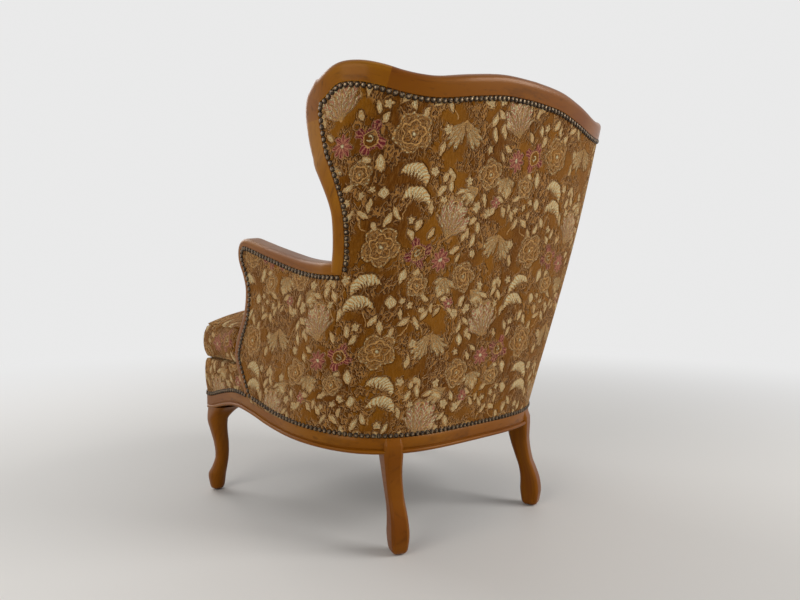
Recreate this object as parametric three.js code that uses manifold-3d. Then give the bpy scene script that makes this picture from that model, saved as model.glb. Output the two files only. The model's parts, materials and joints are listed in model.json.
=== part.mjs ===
// A winged barrel-back armchair: a show-wood frame on four legs, upholstered all round, with a
// loose T-shaped seat cushion. Millimetres, +Z up. The sitter's left is +X and the front is -Y.
//
// Every place is given as across (from the middle), ahead (of the line between the rear feet)
// and up (from the floor). The outside of the back and arms is one barrel-shaped surface, and
// the show-wood, the covers, the pads and the nail trims all follow lines drawn on it.

import * as THREE from 'three';
import { mergeVertices } from 'three/addons/utils/BufferGeometryUtils.js';
import Module from 'manifold-3d';

const wasm = await Module();
wasm.setup();

// Feet and legs
const rear_foot_across = 214;
const rear_block_across = 213;
const front_foot_across = 313;
const front_foot_ahead = 610;
const rear_block_width = 42;
const rear_block_depth = 52;
const rear_leg_turn = THREE.MathUtils.degToRad(22);
const rear_block_proud = 6;
const rear_block_bevel = 15;
const rear_block_foot_up = 196;
const rear_ankle_width = 34;
const rear_ankle_depth = 35;
const rear_foot_width = 39;
const rear_foot_depth = 45;
const rear_foot_swell_up = 40;
const rear_ankle_up = 112;
const front_block_width = 54;
const front_ankle_width = 33;
const front_toe_width = 43;
const front_toe_up = 42;
const front_ankle_up = 88;
const front_knee_up = 190;
const front_ankle_set_in = 13;
const front_knee_flare = 24;
// share of the toe's height, of its width
const front_toe_shares = [[0, 0.5], [0.19, 0.8], [1, 1]];
// share of the way from toe to ankle, share of the set-in, share of the narrowing
const front_ankle_shares = [[0.4, 0.5, 0.55], [1, 1, 1]];
// share of the way from ankle to knee, of the set-in, of the widening, of the way to the block
const front_knee_shares = [
  [0.35, 0.88, 0.12, 0], [0.65, 0.45, 0.36, 0], [0.88, 0.08, 0.66, 0.2], [1, 0, 0.86, 0.45],
];
// share of the rear foot's height, of its width and of its depth
const rear_foot_shares = [[0, 0.6, 0.6], [0.35, 0.9, 0.88], [1, 1, 1]];
// share of the way from the rear foot's swell to its ankle, of the way to the block, of the narrowing
const rear_ankle_shares = [[0.4, 0.07, 0.4], [0.75, 0.28, 0.9], [1, 0.5, 1]];
// half way from the ankle to the block: share of the way over, of the width and of the depth
const rear_knee_shares = [0.85, 0.2, 0.4];
// share of the way from the knee to the shoulder, share of the flare
const front_flare_shares = [[0.6, 0.35], [1, 1]];
// how square the sections are: 2 is round
const toe_squareness = 2.2;
const shank_squareness = 2.7;
const block_squareness = 4;
const leg_sides = 12;
const block_bevel_share = 0.22;
const glide_radius = 9;
const glide_thickness = 3;
const glide_pin_radius = 1.6;
const glide_pin_length = 12;

// Plan of the barrel at the seat rail
const seat_level_up = 240;
const seat_back_ahead = -13;
const seat_back_flat = 150;
const seat_corner_across = 328;
const seat_corner_ahead = -20;
const seat_side_across = 328;
const seat_side_ahead = 252;
const seat_front_across = 330;
const seat_front_side_ahead = 622;

// Plan of the barrel at the arms
const arm_level_up = 556;
const arm_back_ahead = -80;
const arm_back_flat = 170;
const arm_corner_across = 340;
const arm_corner_ahead = -85;
const arm_side_across = 350;
const arm_side_ahead = 67;
const arm_front_across = 353;
const arm_front_ahead = 400;

// Plan of the barrel at the crest
const crest_level_up = 899;
const crest_back_ahead = -167;
const crest_back_flat = 219;
const crest_corner_across = 379;
const crest_corner_ahead = -146;
const crest_side_across = 388;
const crest_side_ahead = 20;
const crest_front_across = 390;
const crest_front_ahead = 92;

// Plan of the seat's front
const front_corner_radius = 18;
const front_bow = 28;
const front_bow_flat = 110;

// Seat rails: the cover's lower edge runs along them in a wave, and the wood shows below it
const rail_low_up = 230.5;
const rail_rise = 45;
const rail_show_height = 33;
const rail_top_up = 300;
const rail_thickness = 30;
const rail_bead_radius = 4;
// share of the bead's radius that it stands out, share of it up from the rail's foot
const rail_bead_shares = [[0, 0], [0.7, 0.3], [1, 1], [0.7, 1.7]];
const rail_groove_shares = [2.1, 2.8];
const rail_groove_depth = 1.5;
const rail_rabbet = 6;
// share of the way from the middle of the back to the middle of the front, share of the rise
const rail_wave_shares = [
  [0, 0], [0.19, 0.02], [0.33, 0.2], [0.41, 0.34], [0.468, 0.53], [0.523, 0.8],
  [0.576, 0.97], [0.613, 0.93], [0.666, 0.64], [0.7, 0.42], [0.728, 0.42],
  [0.765, 0.83], [0.81, 1], [0.89, 0.86], [1, 0.7],
];

// Show-wood round the covers
const wood_thickness = 44;
const wood_proud = 2;
const wood_inner_drop = 10;
const cover_rabbet = 6;
const crest_show_height = 38;
const corner_show_height = 49;
const wing_show_height = 30;
const arm_show_height = 24;
const arm_knuckle_height = 17;
const stump_neck_width = 13;
const stump_show_width = 20;
const wood_edge_radius = 12;

// Line of the cover's edge under the crest: share along the barrel's plan, height
const crest_middle_up = 903;
const crest_dip = 29;
const crest_shoulder_drop = 7;
const wing_corner_up = 860;
// share along the barrel, then the share of the dip below the middle of the crest
const crest_dip_shares = [
  [0, 0], [0.13, 0.1], [0.25, 0.46], [0.4, 0.93], [0.5, 1], [0.6, 0.84], [0.7, 0.5], [0.8, 0.24],
];
const wing_shoulder_along = 0.89;
const wing_turn_along = 0.97;
const wing_turn_drop = 18;

// Line of the wing's front edge: how far ahead at heights from the crest to the arm
const wing_top_ahead = 24;
const wing_waist_ahead = -6;
const wing_foot_ahead = 16;
const wing_bulge_up = 822;
const wing_waist_up = 676;
// shares of the way ahead and of the way up, from the wing's top to its waist and on to its foot
const wing_between_shares = [[[0.55, 0.5]], [[0.35, 0.6]]];

// Line under the arm rail and behind the arm stump, ahead and up
const arm_line_rear_up = 559;
const arm_line_front_up = 624;
const stump_top_ahead = 382;
const arm_turn_reach = 24;
const arm_line_front_ahead = stump_top_ahead - arm_turn_reach;
const stump_top_up = 596;
const stump_waist_ahead = 362;
const stump_waist_up = 522;
const stump_belly_ahead = 438;
const stump_belly_up = 366;
const stump_foot_ahead = 395;
const stump_foot_up = 262;
// shares of the way ahead and of the way up, on the stretches from the arm's front to the stump's foot
const stump_between_shares = [[[0.72, 0.25]], [[0.72, 0.5]], [[0.22, 0.35], [0.72, 0.7]], [[0.5, 0.55]]];
// share of the way from the wing to the arm's front, share of the arm line's rise
const arm_wave_shares = [
  [0, 0], [0.12, 0.02], [0.24, 0.07], [0.36, 0.16], [0.48, 0.3],
  [0.61, 0.47], [0.75, 0.66], [0.89, 0.86], [1, 1],
];

// Frame inside the upholstery
const frame_set_in = 7;
const post_width = 38;
const post_thickness = 24;
const post_along = 0.43;
const stretcher_up = 392;
const stretcher_height = 30;
const stretcher_thickness = 20;
const arm_link_height = 24;
const corner_block_reach = 96;
const corner_block_height = 42;
const corner_block_top_up = 292;
const bolt_radius = 3;
const bolt_head_radius = 7;
const bolt_head_height = 4;
const bolt_length = 52;

// Springs and what lies on them
const spring_count = 4;
// from the middle of a rear leg to the middle of the nearest spring
const spring_leg_clear = 63;
const spring_spacing = 2 * (rear_block_across - spring_leg_clear) / (spring_count - 1);
const spring_wire_radius = 1.9;
const spring_swing = 21;
const spring_half_loop = 50;
const wire_loop_steps = 3;
const spring_strip_width = 16;
const spring_strip_thickness = 1.6;
const burlap_thickness = 1.6;
const deck_top_up = 343;
const dust_cover_lift = 2;
const dust_cover_thickness = 1.6;

// Covers and pads
const cover_thickness = 3.6;
const wrap_back_columns = 6;
const wrap_arm_columns = 5;
const wrap_low_rows = 5;
const wrap_high_rows = 5;
const pad_behind_wood = 1;
const back_pad_depth = 88;
const back_pad_lumbar = 14;
const corner_pad_depth = 62;
const wing_pad_depth = 54;
const arm_pad_depth = 58;
const pad_edge_depth = 54;
const border_bulge = 5;
const border_end_share = 0.1;
// share of the bulge, share of the border's height
const border_bulge_shares = [[1, 0.6], [0.8, 0.88]];
const back_lumbar_share = 0.3;
const back_pad_thin_share = 0.55;
// how late a pad's front turns towards its edge: a higher power is later
const wing_pad_turn_power = 6;
const arm_pad_turn_power = 5;
const back_pad_end_along = 0.53;
const arm_pad_wing_share = 0.5;

// Loose cushion
const cushion_border_height = 82;
const cushion_seam_set_in = 9;
const cushion_side_clear = 5;
const cushion_crown = 56;
const cushion_front_overhang = 22;
const cushion_ear_clear = 4;
const cushion_ear_behind_ahead = stump_belly_ahead + stump_show_width + cushion_ear_clear;
const cushion_corner_radius = 30;
const cushion_notch_radius = 14;
const cushion_draw_in = 4;
const cushion_foot_rise = 3;
const cushion_stations = 40;
// share of the way from the ears' backs to the seat's front where the crown is highest
const cushion_middle_share = 0.3;
const cushion_foot_share = 0.12;
const cushion_ear_round_share = 0.5;
const cushion_crown_power = 3;
// share of the border's height, share of the seam's set-in
const cushion_side_shares = [[0, 1], [0.22, 0.25], [0.5, 0], [0.78, 0.25], [1, 1]];
const cushion_crown_shares = [0.06, 0.18, 0.38, 0.66];
// share of the way out from the middle, share of the bow
const cushion_bow_shares = [[0.62, 0.32], [0.3, 0.84], [0, 1]];

// Nail trims
const nail_band_width = 9;
const nail_band_thickness = 1.6;
const nail_line_set_in = 4.8;

// Gaps between neighbours, and how far a cutter runs past what it cuts
const joint_gap = 0.3;
const seat_gap = 0.5;
const overrun = 6;
// steps along the barrel and along its lines for reading their directions, as shares
const barrel_step_share = 0.004;
const line_step_share = 0.002;
const search_steps = 30;
// how far a cut face may move when needless points are dropped from it
const smoothing = 0.07;

const wood = { color: 0x9a5a1c, roughness: 0.28, metalness: 0 };
const velvet = { color: 0xa98a5c, roughness: 0.9, metalness: 0 };
const inner_wood = { color: 0xcaa873, roughness: 0.75, metalness: 0 };
const steel = { color: 0x8d8f92, roughness: 0.4, metalness: 1 };
const bronze = { color: 0x5a4630, roughness: 0.35, metalness: 1 };
const burlap_cloth = { color: 0xb79a6a, roughness: 0.95, metalness: 0 };
const black_cloth = { color: 0x141414, roughness: 0.95, metalness: 0 };
const glide_plastic = { color: 0x2a211b, roughness: 0.6, metalness: 0 };

const chair = new THREE.Group();

// Small geometry helpers

const spot = (across, ahead, up) => new THREE.Vector3(across, -ahead, up);
const steps = (count) => Array.from({ length: count + 1 }, (_, i) => i / count);
const mix = THREE.MathUtils.lerp;
const spread = (start, end, count) => steps(count).map((share) => mix(start, end, share));

// The place between two others where a rising test turns from below to above
function bisect(low, high, is_below) {
  let [from, to] = [low, high];
  for (let i = 0; i < search_steps; i += 1) {
    const middle = (from + to) / 2;
    if (is_below(middle)) from = middle;
    else to = middle;
  }
  return (from + to) / 2;
}

// Smooth value through a table of [share, value] pairs
function read_table(table, share) {
  let i = 1;
  while (i < table.length - 1 && table[i][0] < share) i += 1;
  const [x0, y0] = table[i - 1];
  const [x1, y1] = table[i];
  const before = table[Math.max(0, i - 2)];
  const after = table[Math.min(table.length - 1, i + 1)];
  const span = x1 - x0;
  const slope0 = (y1 - before[1]) / (x1 - before[0]) * span;
  const slope1 = (after[1] - y0) / (after[0] - x0) * span;
  const u = THREE.MathUtils.clamp((share - x0) / span, 0, 1);
  const u2 = u * u;
  const u3 = u2 * u;
  return (2 * u3 - 3 * u2 + 1) * y0
    + (u3 - 2 * u2 + u) * slope0
    + (3 * u2 - 2 * u3) * y1
    + (u3 - u2) * slope1;
}

function geometry_of(points, faces) {
  const geometry = new THREE.BufferGeometry();
  const numbers = points.flatMap((p) => [p.x, p.y, p.z]);
  geometry.setAttribute('position', new THREE.Float32BufferAttribute(numbers, 3));
  geometry.setIndex(faces.flat());
  return facing_out(geometry);
}

function signed_volume(geometry) {
  const place = geometry.getAttribute('position');
  const index = geometry.index.array;
  const corner = (i) => new THREE.Vector3().fromBufferAttribute(place, index[i]);
  let total = 0;
  for (let i = 0; i < index.length; i += 3) total += corner(i).dot(corner(i + 1).cross(corner(i + 2)));
  return total;
}

function facing_out(geometry) {
  if (signed_volume(geometry) < 0) {
    const index = geometry.index.array;
    for (let i = 0; i < index.length; i += 3) {
      [index[i + 1], index[i + 2]] = [index[i + 2], index[i + 1]];
    }
  }
  return geometry;
}

// Triangles that close a flat ring of points, turned the same way as the ring
function cap(ring) {
  const centre = ring.reduce((sum, p) => sum.add(p), new THREE.Vector3()).divideScalar(ring.length);
  const normal = new THREE.Vector3();
  ring.forEach((p, i) => {
    const next = ring[(i + 1) % ring.length];
    normal.add(p.clone().sub(centre).cross(next.clone().sub(centre)));
  });
  normal.normalize();
  const side = ring[0].clone().sub(centre).projectOnPlane(normal).normalize();
  const other = normal.clone().cross(side);
  const flat = ring.map((p) => {
    const arm = p.clone().sub(centre);
    return new THREE.Vector2(arm.dot(side), arm.dot(other));
  });
  return THREE.ShapeUtils.triangulateShape(flat, []).map(([a, b, c]) => {
    const turn = flat[b].clone().sub(flat[a]).cross(flat[c].clone().sub(flat[a]));
    return turn > 0 ? [a, b, c] : [a, c, b];
  });
}

// A closed solid through rings of as many points each
function loft(rings) {
  const size = rings[0].length;
  const faces = [];
  for (let i = 0; i < rings.length - 1; i += 1) {
    for (let j = 0; j < size; j += 1) {
      const a = i * size + j;
      const b = i * size + (j + 1) % size;
      faces.push([a, b, b + size], [a, b + size, a + size]);
    }
  }
  const last = (rings.length - 1) * size;
  cap(rings[0]).forEach(([a, b, c]) => faces.push([a, c, b]));
  cap(rings[rings.length - 1]).forEach(([a, b, c]) => faces.push([a + last, b + last, c + last]));
  return geometry_of(rings.flat(), faces);
}

// A closed slab between two grids of points, made only where present(row, column) says so;
// its diagonals turn over half way, so that the two halves of a symmetrical grid match
function slab(front, back, present = () => true) {
  const rows = front.length;
  const columns = front[0].length;
  const points = [];
  const numbers = new Map();
  const number = (side, r, c) => {
    const key = `${side}:${r}:${c}`;
    if (!numbers.has(key)) {
      numbers.set(key, points.length);
      points.push(side ? back[r][c] : front[r][c]);
    }
    return numbers.get(key);
  };
  const has = (r, c) => r >= 0 && c >= 0 && r < rows - 1 && c < columns - 1 && present(r, c);
  const faces = [];
  const wall = (r0, c0, r1, c1) => {
    const [a, b, c, d] = [number(0, r0, c0), number(0, r1, c1), number(1, r1, c1), number(1, r0, c0)];
    faces.push([b, a, d], [b, d, c]);
  };
  for (let r = 0; r < rows - 1; r += 1) {
    for (let c = 0; c < columns - 1; c += 1) {
      if (!has(r, c)) continue;
      for (const side of [0, 1]) {
        const quad = [[r, c], [r, c + 1], [r + 1, c + 1], [r + 1, c]].map((place) => number(side, ...place));
        if (c < (columns - 1) / 2) quad.push(quad.shift());
        if (side) quad.reverse();
        faces.push([quad[0], quad[1], quad[2]], [quad[0], quad[2], quad[3]]);
      }
      if (!has(r - 1, c)) wall(r, c, r, c + 1);
      if (!has(r, c + 1)) wall(r, c + 1, r + 1, c + 1);
      if (!has(r + 1, c)) wall(r + 1, c + 1, r + 1, c);
      if (!has(r, c - 1)) wall(r + 1, c, r, c);
    }
  }
  return geometry_of(points, faces);
}

// The bare body of a geometry: shared points, and no faces folded on an axis
function bare(geometry) {
  const plain = new THREE.BufferGeometry();
  plain.setAttribute('position', geometry.getAttribute('position').clone());
  if (geometry.index) plain.setIndex(geometry.index.clone());
  const merged = mergeVertices(plain);
  const index = Array.from(merged.index.array);
  const kept = [];
  for (let i = 0; i < index.length; i += 3) {
    const [a, b, c] = index.slice(i, i + 3);
    if (a !== b && b !== c && a !== c) kept.push(a, b, c);
  }
  merged.setIndex(kept);
  return facing_out(merged);
}

function to_solid(geometry) {
  const body = bare(geometry);
  return new wasm.Manifold(new wasm.Mesh({
    numProp: 3,
    vertProperties: new Float32Array(body.getAttribute('position').array),
    triVerts: new Uint32Array(body.index.array),
  }));
}

// The same body pushed out by a gap all round
function swollen(geometry, gap) {
  const body = bare(geometry);
  body.computeVertexNormals();
  const place = body.getAttribute('position');
  const way = body.getAttribute('normal');
  for (let i = 0; i < place.count; i += 1) {
    const moved = new THREE.Vector3().fromBufferAttribute(place, i)
      .addScaledVector(new THREE.Vector3().fromBufferAttribute(way, i), gap);
    place.setXYZ(i, moved.x, moved.y, moved.z);
  }
  return body;
}

function from_solid(solid) {
  const mesh = solid.getMesh();
  const geometry = new THREE.BufferGeometry();
  geometry.setAttribute('position', new THREE.BufferAttribute(new Float32Array(mesh.vertProperties), 3));
  geometry.setIndex(new THREE.BufferAttribute(new Uint32Array(mesh.triVerts), 1));
  return geometry;
}

// What is left of a piece when its neighbours, each with a gap round it, are taken out of it
function cut(geometry, ...neighbours) {
  const whole = neighbours.reduce(
    (solid, neighbour) => solid.subtract(to_solid(swollen(neighbour, joint_gap))),
    to_solid(geometry),
  );
  const bodies = whole.simplify(smoothing).decompose();
  return from_solid(bodies.sort((a, b) => b.volume() - a.volume())[0]);
}

function mirrored(geometry) {
  const copy = geometry.clone();
  copy.scale(-1, 1, 1);
  return facing_out(copy);
}

const both = (...bodies) => bodies.flatMap((body) => [body, mirrored(body)]);

function add(name, geometry, finish) {
  const mesh = new THREE.Mesh(geometry, new THREE.MeshStandardMaterial(finish));
  mesh.name = name;
  chair.add(mesh);
}

function add_pair(name, left, finish) {
  add(`${name}_left`, left, finish);
  add(`${name}_right`, mirrored(left), finish);
}

// A section carried along frames: out of the surface, and towards its edge
function sweep(outline_at, frames) {
  return loft(frames.map((frame) => outline_at(frame).map(([out, edge]) => (
    frame.at.clone().addScaledVector(frame.out, out).addScaledVector(frame.edge, edge)
  ))));
}

// The barrel: its outside surface, by share along its plan and height.
// A share below 0 is on the sitter's right, 1 is where the side turns straight, 2 its front.

function at_level(seat, arm, crest, up) {
  const [a, b, c] = [seat_level_up, arm_level_up, crest_level_up];
  return seat * (up - b) * (up - c) / ((a - b) * (a - c))
    + arm * (up - a) * (up - c) / ((b - a) * (b - c))
    + crest * (up - a) * (up - b) / ((c - a) * (c - b));
}

function barrel_plan(up) {
  const back_ahead = at_level(seat_back_ahead, arm_back_ahead, crest_back_ahead, up);
  return [
    new THREE.Vector2(0, back_ahead),
    new THREE.Vector2(at_level(seat_back_flat, arm_back_flat, crest_back_flat, up), back_ahead),
    new THREE.Vector2(
      at_level(seat_corner_across, arm_corner_across, crest_corner_across, up),
      at_level(seat_corner_ahead, arm_corner_ahead, crest_corner_ahead, up),
    ),
    new THREE.Vector2(
      at_level(seat_side_across, arm_side_across, crest_side_across, up),
      at_level(seat_side_ahead, arm_side_ahead, crest_side_ahead, up),
    ),
    new THREE.Vector2(
      at_level(seat_front_across, arm_front_across, crest_front_across, up),
      at_level(seat_front_side_ahead, arm_front_ahead, crest_front_ahead, up),
    ),
  ];
}

function barrel(along, up) {
  const [p0, p1, p2, p3, p4] = barrel_plan(up);
  const share = Math.abs(along);
  const place = share > 1
    ? p3.clone().lerp(p4, share - 1)
    : new THREE.CubicBezierCurve(p0, p1, p2, p3).getPoint(share);
  return spot(along < 0 ? -place.x : place.x, place.y, up);
}

function barrel_normal(along, up) {
  const small = barrel_step_share;
  const tall = small * crest_level_up;
  const sideways = barrel(along + small, up).sub(barrel(along - small, up));
  const upwards = barrel(along, up + tall).sub(barrel(along, up - tall));
  return sideways.cross(upwards).normalize().negate();
}

// The share along the barrel that lies so far ahead at a height
function along_for(ahead, up) {
  const [, , , p3, p4] = barrel_plan(up);
  if (ahead >= p3.y) return 1 + (ahead - p3.y) / (p4.y - p3.y);
  return bisect(0.4, 1, (share) => -barrel(share, up).y < ahead);
}

// Lines on the barrel, as curves in (share along, height)

const on_barrel = (ahead, up) => new THREE.Vector2(along_for(ahead, up), up);

// A place between two others, by its share of the way ahead and its share of the way up
const between = ([ahead0, up0], [ahead1, up1], ahead_share, up_share) => (
  on_barrel(mix(ahead0, ahead1, ahead_share), mix(up0, up1, up_share))
);

// Points through places on the barrel, with a few more on each stretch between two
function points_through([first, ...rest], between_shares) {
  const points = [on_barrel(...first)];
  let before = first;
  rest.forEach((place, i) => {
    between_shares[i].forEach((shares) => points.push(between(before, place, ...shares)));
    points.push(on_barrel(...place));
    before = place;
  });
  return points;
}

const wing_points = points_through([
  [wing_top_ahead, wing_bulge_up],
  [wing_waist_ahead, wing_waist_up],
  [wing_foot_ahead, arm_line_rear_up],
], wing_between_shares);

const crest_points = crest_dip_shares.map(([along, dip]) => (
  new THREE.Vector2(along, crest_middle_up - crest_dip * dip)
));
const shoulder_up = crest_middle_up - crest_shoulder_drop;
const rim_curve = new THREE.SplineCurve([
  ...crest_points,
  new THREE.Vector2(wing_shoulder_along, shoulder_up),
  new THREE.Vector2(wing_turn_along, shoulder_up - wing_turn_drop),
  new THREE.Vector2(on_barrel(wing_top_ahead, wing_corner_up).x, wing_corner_up),
  ...wing_points,
]);
const rim_spans = rim_curve.points.length - 1;
const rim_corner_share = (crest_points.length + 0.5) / rim_spans;
const rim_joint_share = (crest_points.length - 2.4) / rim_spans;
const rim_post_share = (crest_points.length + 2.5) / rim_spans;
// where the wood starts and ends growing wider round the corner, and then narrower down the wing
const rim_swell_shares = [0, 2.2, 3, 5.2].map((spans) => (crest_points.length + spans) / rim_spans);
const rim_end_share = 0.999;

function rim_line(share) {
  const point = rim_curve.getPoint(Math.min(Math.abs(share), 1));
  return share < 0 ? new THREE.Vector2(-point.x, point.y) : point;
}

function arm_up(ahead) {
  const share = (ahead - wing_foot_ahead) / (arm_line_front_ahead - wing_foot_ahead);
  return mix(arm_line_rear_up, arm_line_front_up, read_table(arm_wave_shares, share));
}

const arm_points = steps(8).map((share) => {
  const ahead = mix(wing_foot_ahead, arm_line_front_ahead, share);
  return on_barrel(ahead, arm_up(ahead));
});
const [, ...stump_points] = points_through([
  [arm_line_front_ahead, arm_line_front_up],
  [stump_top_ahead, stump_top_up],
  [stump_waist_ahead, stump_waist_up],
  [stump_belly_ahead, stump_belly_up],
  [stump_foot_ahead, stump_foot_up],
], stump_between_shares);
const side_curve = new THREE.SplineCurve([...arm_points, ...stump_points]);
const side_spans = side_curve.points.length - 1;
const side_corner_share = (arm_points.length - 0.3) / side_spans;
const side_joint_share = (arm_points.length + 1.2) / side_spans;
const side_end_share = 0.995;
const stump_belly_share = (side_spans - 2) / side_spans;
const side_line = (share) => side_curve.getPoint(THREE.MathUtils.clamp(share, 0, 1));

// Frames along a line on the barrel
function barrel_frame(line, share) {
  const small = line_step_share;
  const at = ({ x, y }) => barrel(x, y);
  const tangent = at(line(share + small)).sub(at(line(share - small))).normalize();
  const here = line(share);
  const out = barrel_normal(here.x, here.y);
  out.addScaledVector(tangent, -out.dot(tangent)).normalize();
  return { at: at(here), out, edge: tangent.clone().cross(out), share };
}

const frames_along = (line, shares) => shares.map((share) => barrel_frame(line, share));

// The plan of the seat rails, from the middle of the back to the middle of the front

const seat_plan = new THREE.CurvePath();
const seat_front_ahead = seat_front_side_ahead + front_corner_radius;
const corner_start = new THREE.Vector2(seat_front_across, seat_front_side_ahead);
const corner_end = new THREE.Vector2(seat_front_across - front_corner_radius, seat_front_ahead);
seat_plan.add(new THREE.CubicBezierCurve(
  new THREE.Vector2(0, seat_back_ahead),
  new THREE.Vector2(seat_back_flat, seat_back_ahead),
  new THREE.Vector2(seat_corner_across, seat_corner_ahead),
  new THREE.Vector2(seat_side_across, seat_side_ahead),
));
seat_plan.add(new THREE.LineCurve(new THREE.Vector2(seat_side_across, seat_side_ahead), corner_start));
seat_plan.add(new THREE.QuadraticBezierCurve(
  corner_start,
  new THREE.Vector2(seat_front_across, seat_front_ahead),
  corner_end,
));
seat_plan.add(new THREE.CubicBezierCurve(
  corner_end,
  new THREE.Vector2(corner_end.x - front_bow_flat, seat_front_ahead),
  new THREE.Vector2(front_bow_flat, seat_front_ahead + front_bow),
  new THREE.Vector2(0, seat_front_ahead + front_bow),
));
seat_plan.arcLengthDivisions = 400;
const [, side_length, turn_length, seat_length] = seat_plan.getCurveLengths();
const corner_in_share = side_length / seat_length;
const corner_out_share = turn_length / seat_length;

function seat_edge_up(share) {
  return rail_low_up + rail_rise * read_table(rail_wave_shares, Math.abs(share));
}

// Upright frames along the seat's plan; a share below 0 is on the sitter's right
function seat_frame(share) {
  const reach = THREE.MathUtils.clamp(Math.abs(share), 0, 1);
  const place = seat_plan.getPointAt(reach);
  const heading = seat_plan.getTangentAt(reach);
  const side = share < 0 ? -1 : 1;
  return {
    at: spot(side * place.x, place.y, seat_edge_up(share)),
    out: new THREE.Vector3(side * heading.y, heading.x, 0).normalize(),
    edge: new THREE.Vector3(0, 0, 1),
    share,
  };
}

const seat_frames = (shares) => shares.map(seat_frame);
const with_mirror = (shares) => [...shares, ...shares.slice(0, -1).reverse().map((share) => -share)];

// The share of the seat's plan where its side is so far ahead, and where its back is so far across
const seat_share_at = (ahead) => (
  bisect(0.2, corner_in_share, (share) => seat_plan.getPointAt(share).y < ahead)
);
const rear_leg_share = bisect(0, 0.3, (share) => seat_plan.getPointAt(share).x < rear_block_across);

// Across plus ahead grows all the way round a side, so it pairs places on the two plans
const round_side = (place) => place.x - place.y;
function along_of_seat(share) {
  const place = seat_plan.getPointAt(share);
  const goal = place.x + place.y;
  return bisect(0, 2, (along) => round_side(barrel(along, seat_level_up)) < goal);
}
function seat_share_of(along) {
  const goal = round_side(barrel(along, seat_level_up));
  return bisect(0, corner_in_share, (share) => {
    const place = seat_plan.getPointAt(share);
    return place.x + place.y < goal;
  });
}

// Seat rails: bead and groove along the foot, a rabbet for the cover above
function rail_outline(frame) {
  const top = rail_top_up - frame.at.z;
  const foot = -rail_show_height;
  const bead = rail_bead_radius;
  const [groove_low, groove_high] = rail_groove_shares;
  return [
    [-rail_thickness, foot],
    ...rail_bead_shares.map(([out, rise]) => [bead * out, foot + bead * rise]),
    [-rail_groove_depth, foot + bead * groove_low],
    [0, foot + bead * groove_high],
    [0, -joint_gap],
    [-rail_rabbet, -joint_gap],
    [-rail_rabbet, top],
    [-rail_thickness, top],
  ];
}

// Legs

function rounded_ring(centre, half_side, half_ahead, squareness) {
  const reach = (value) => Math.sign(value) * Math.abs(value) ** (2 / squareness);
  return steps(leg_sides).slice(0, leg_sides).map((turn) => {
    const angle = turn * 2 * Math.PI;
    const [across, ahead] = [half_side * reach(Math.cos(angle)), half_ahead * reach(Math.sin(angle))];
    return centre.clone().add(spot(across, ahead, 0));
  });
}

// Front leg: a block at the corner, a knee, a waisted shank and a rounded toe
function front_leg() {
  const half_block = front_block_width / 2;
  const block_across = seat_front_across - half_block;
  const block_ahead = seat_front_ahead - half_block;
  const corner_up = seat_edge_up(corner_in_share);
  const toe = front_toe_width / 2;
  const ankle = front_ankle_width / 2;
  const set_in = front_ankle_set_in;
  const station = (up, inward, half, squareness, to_block = 0) => rounded_ring(
    spot(
      mix(front_foot_across - inward * Math.SQRT1_2, block_across, to_block),
      mix(front_foot_ahead - inward * Math.SQRT1_2, block_ahead, to_block),
      up,
    ),
    half,
    half,
    squareness,
  );
  // Under the rails the knee flares inwards to a flat shoulder
  const shoulder_up = corner_up - rail_show_height + overrun;
  const flared = (up, share) => {
    const half_flare = front_knee_flare * share / 2;
    return rounded_ring(
      spot(block_across - half_flare, block_ahead - half_flare, up),
      half_block + half_flare,
      half_block + half_flare,
      block_squareness,
    );
  };
  const rabbeted = half_block - rail_rabbet / 2;
  const rabbet = (up) => rounded_ring(
    spot(block_across - rail_rabbet / 2, block_ahead - rail_rabbet / 2, up),
    rabbeted,
    rabbeted,
    block_squareness,
  );
  const toe_rings = front_toe_shares.map(([rise, width]) => station(
    mix(glide_thickness, front_toe_up, rise),
    0,
    toe * width,
    toe_squareness,
  ));
  const above_toe = front_ankle_shares.map(([rise, inward, narrowing]) => station(
    mix(front_toe_up, front_ankle_up, rise),
    set_in * inward,
    mix(toe, ankle, narrowing),
    toe_squareness,
  ));
  const above_ankle = front_knee_shares.map(([rise, inward, widening, to_block]) => station(
    mix(front_ankle_up, front_knee_up, rise),
    set_in * inward,
    mix(ankle, half_block, widening),
    shank_squareness,
    to_block,
  ));
  return loft([
    ...toe_rings,
    ...above_toe,
    ...above_ankle,
    ...front_flare_shares.map(([rise, share]) => flared(mix(front_knee_up, shoulder_up, rise), share)),
    station(shoulder_up + joint_gap, 0, half_block, block_squareness, 1),
    station(corner_up, 0, half_block, block_squareness, 1),
    rabbet(corner_up + joint_gap),
    rabbet(rail_top_up),
  ]);
}

// Rear leg and back post in one piece: a splayed foot, a block at the rail, and above it the
// post that rises inside the covers to the crest
const rear_rail_frame = seat_frame(rear_leg_share);
const rear_out = new THREE.Vector3(Math.sin(rear_leg_turn), Math.cos(rear_leg_turn), 0);
const rear_side = new THREE.Vector3(0, 0, 1).cross(rear_out);
const rim_share_at = (along) => bisect(0, rim_joint_share, (share) => rim_line(share).x < along);

function chamfered_ring(centre, side, out, width, depth) {
  const [half_side, half_out] = [width / 2, depth / 2];
  const bevel = Math.min(half_side, half_out) * block_bevel_share;
  const corners = [
    [half_side, half_out - bevel], [half_side - bevel, half_out],
    [-half_side + bevel, half_out], [-half_side, half_out - bevel],
    [-half_side, -half_out + bevel], [-half_side + bevel, -half_out],
    [half_side - bevel, -half_out], [half_side, -half_out + bevel],
  ];
  return corners.map(([s, o]) => centre.clone().addScaledVector(side, s).addScaledVector(out, o));
}

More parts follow.
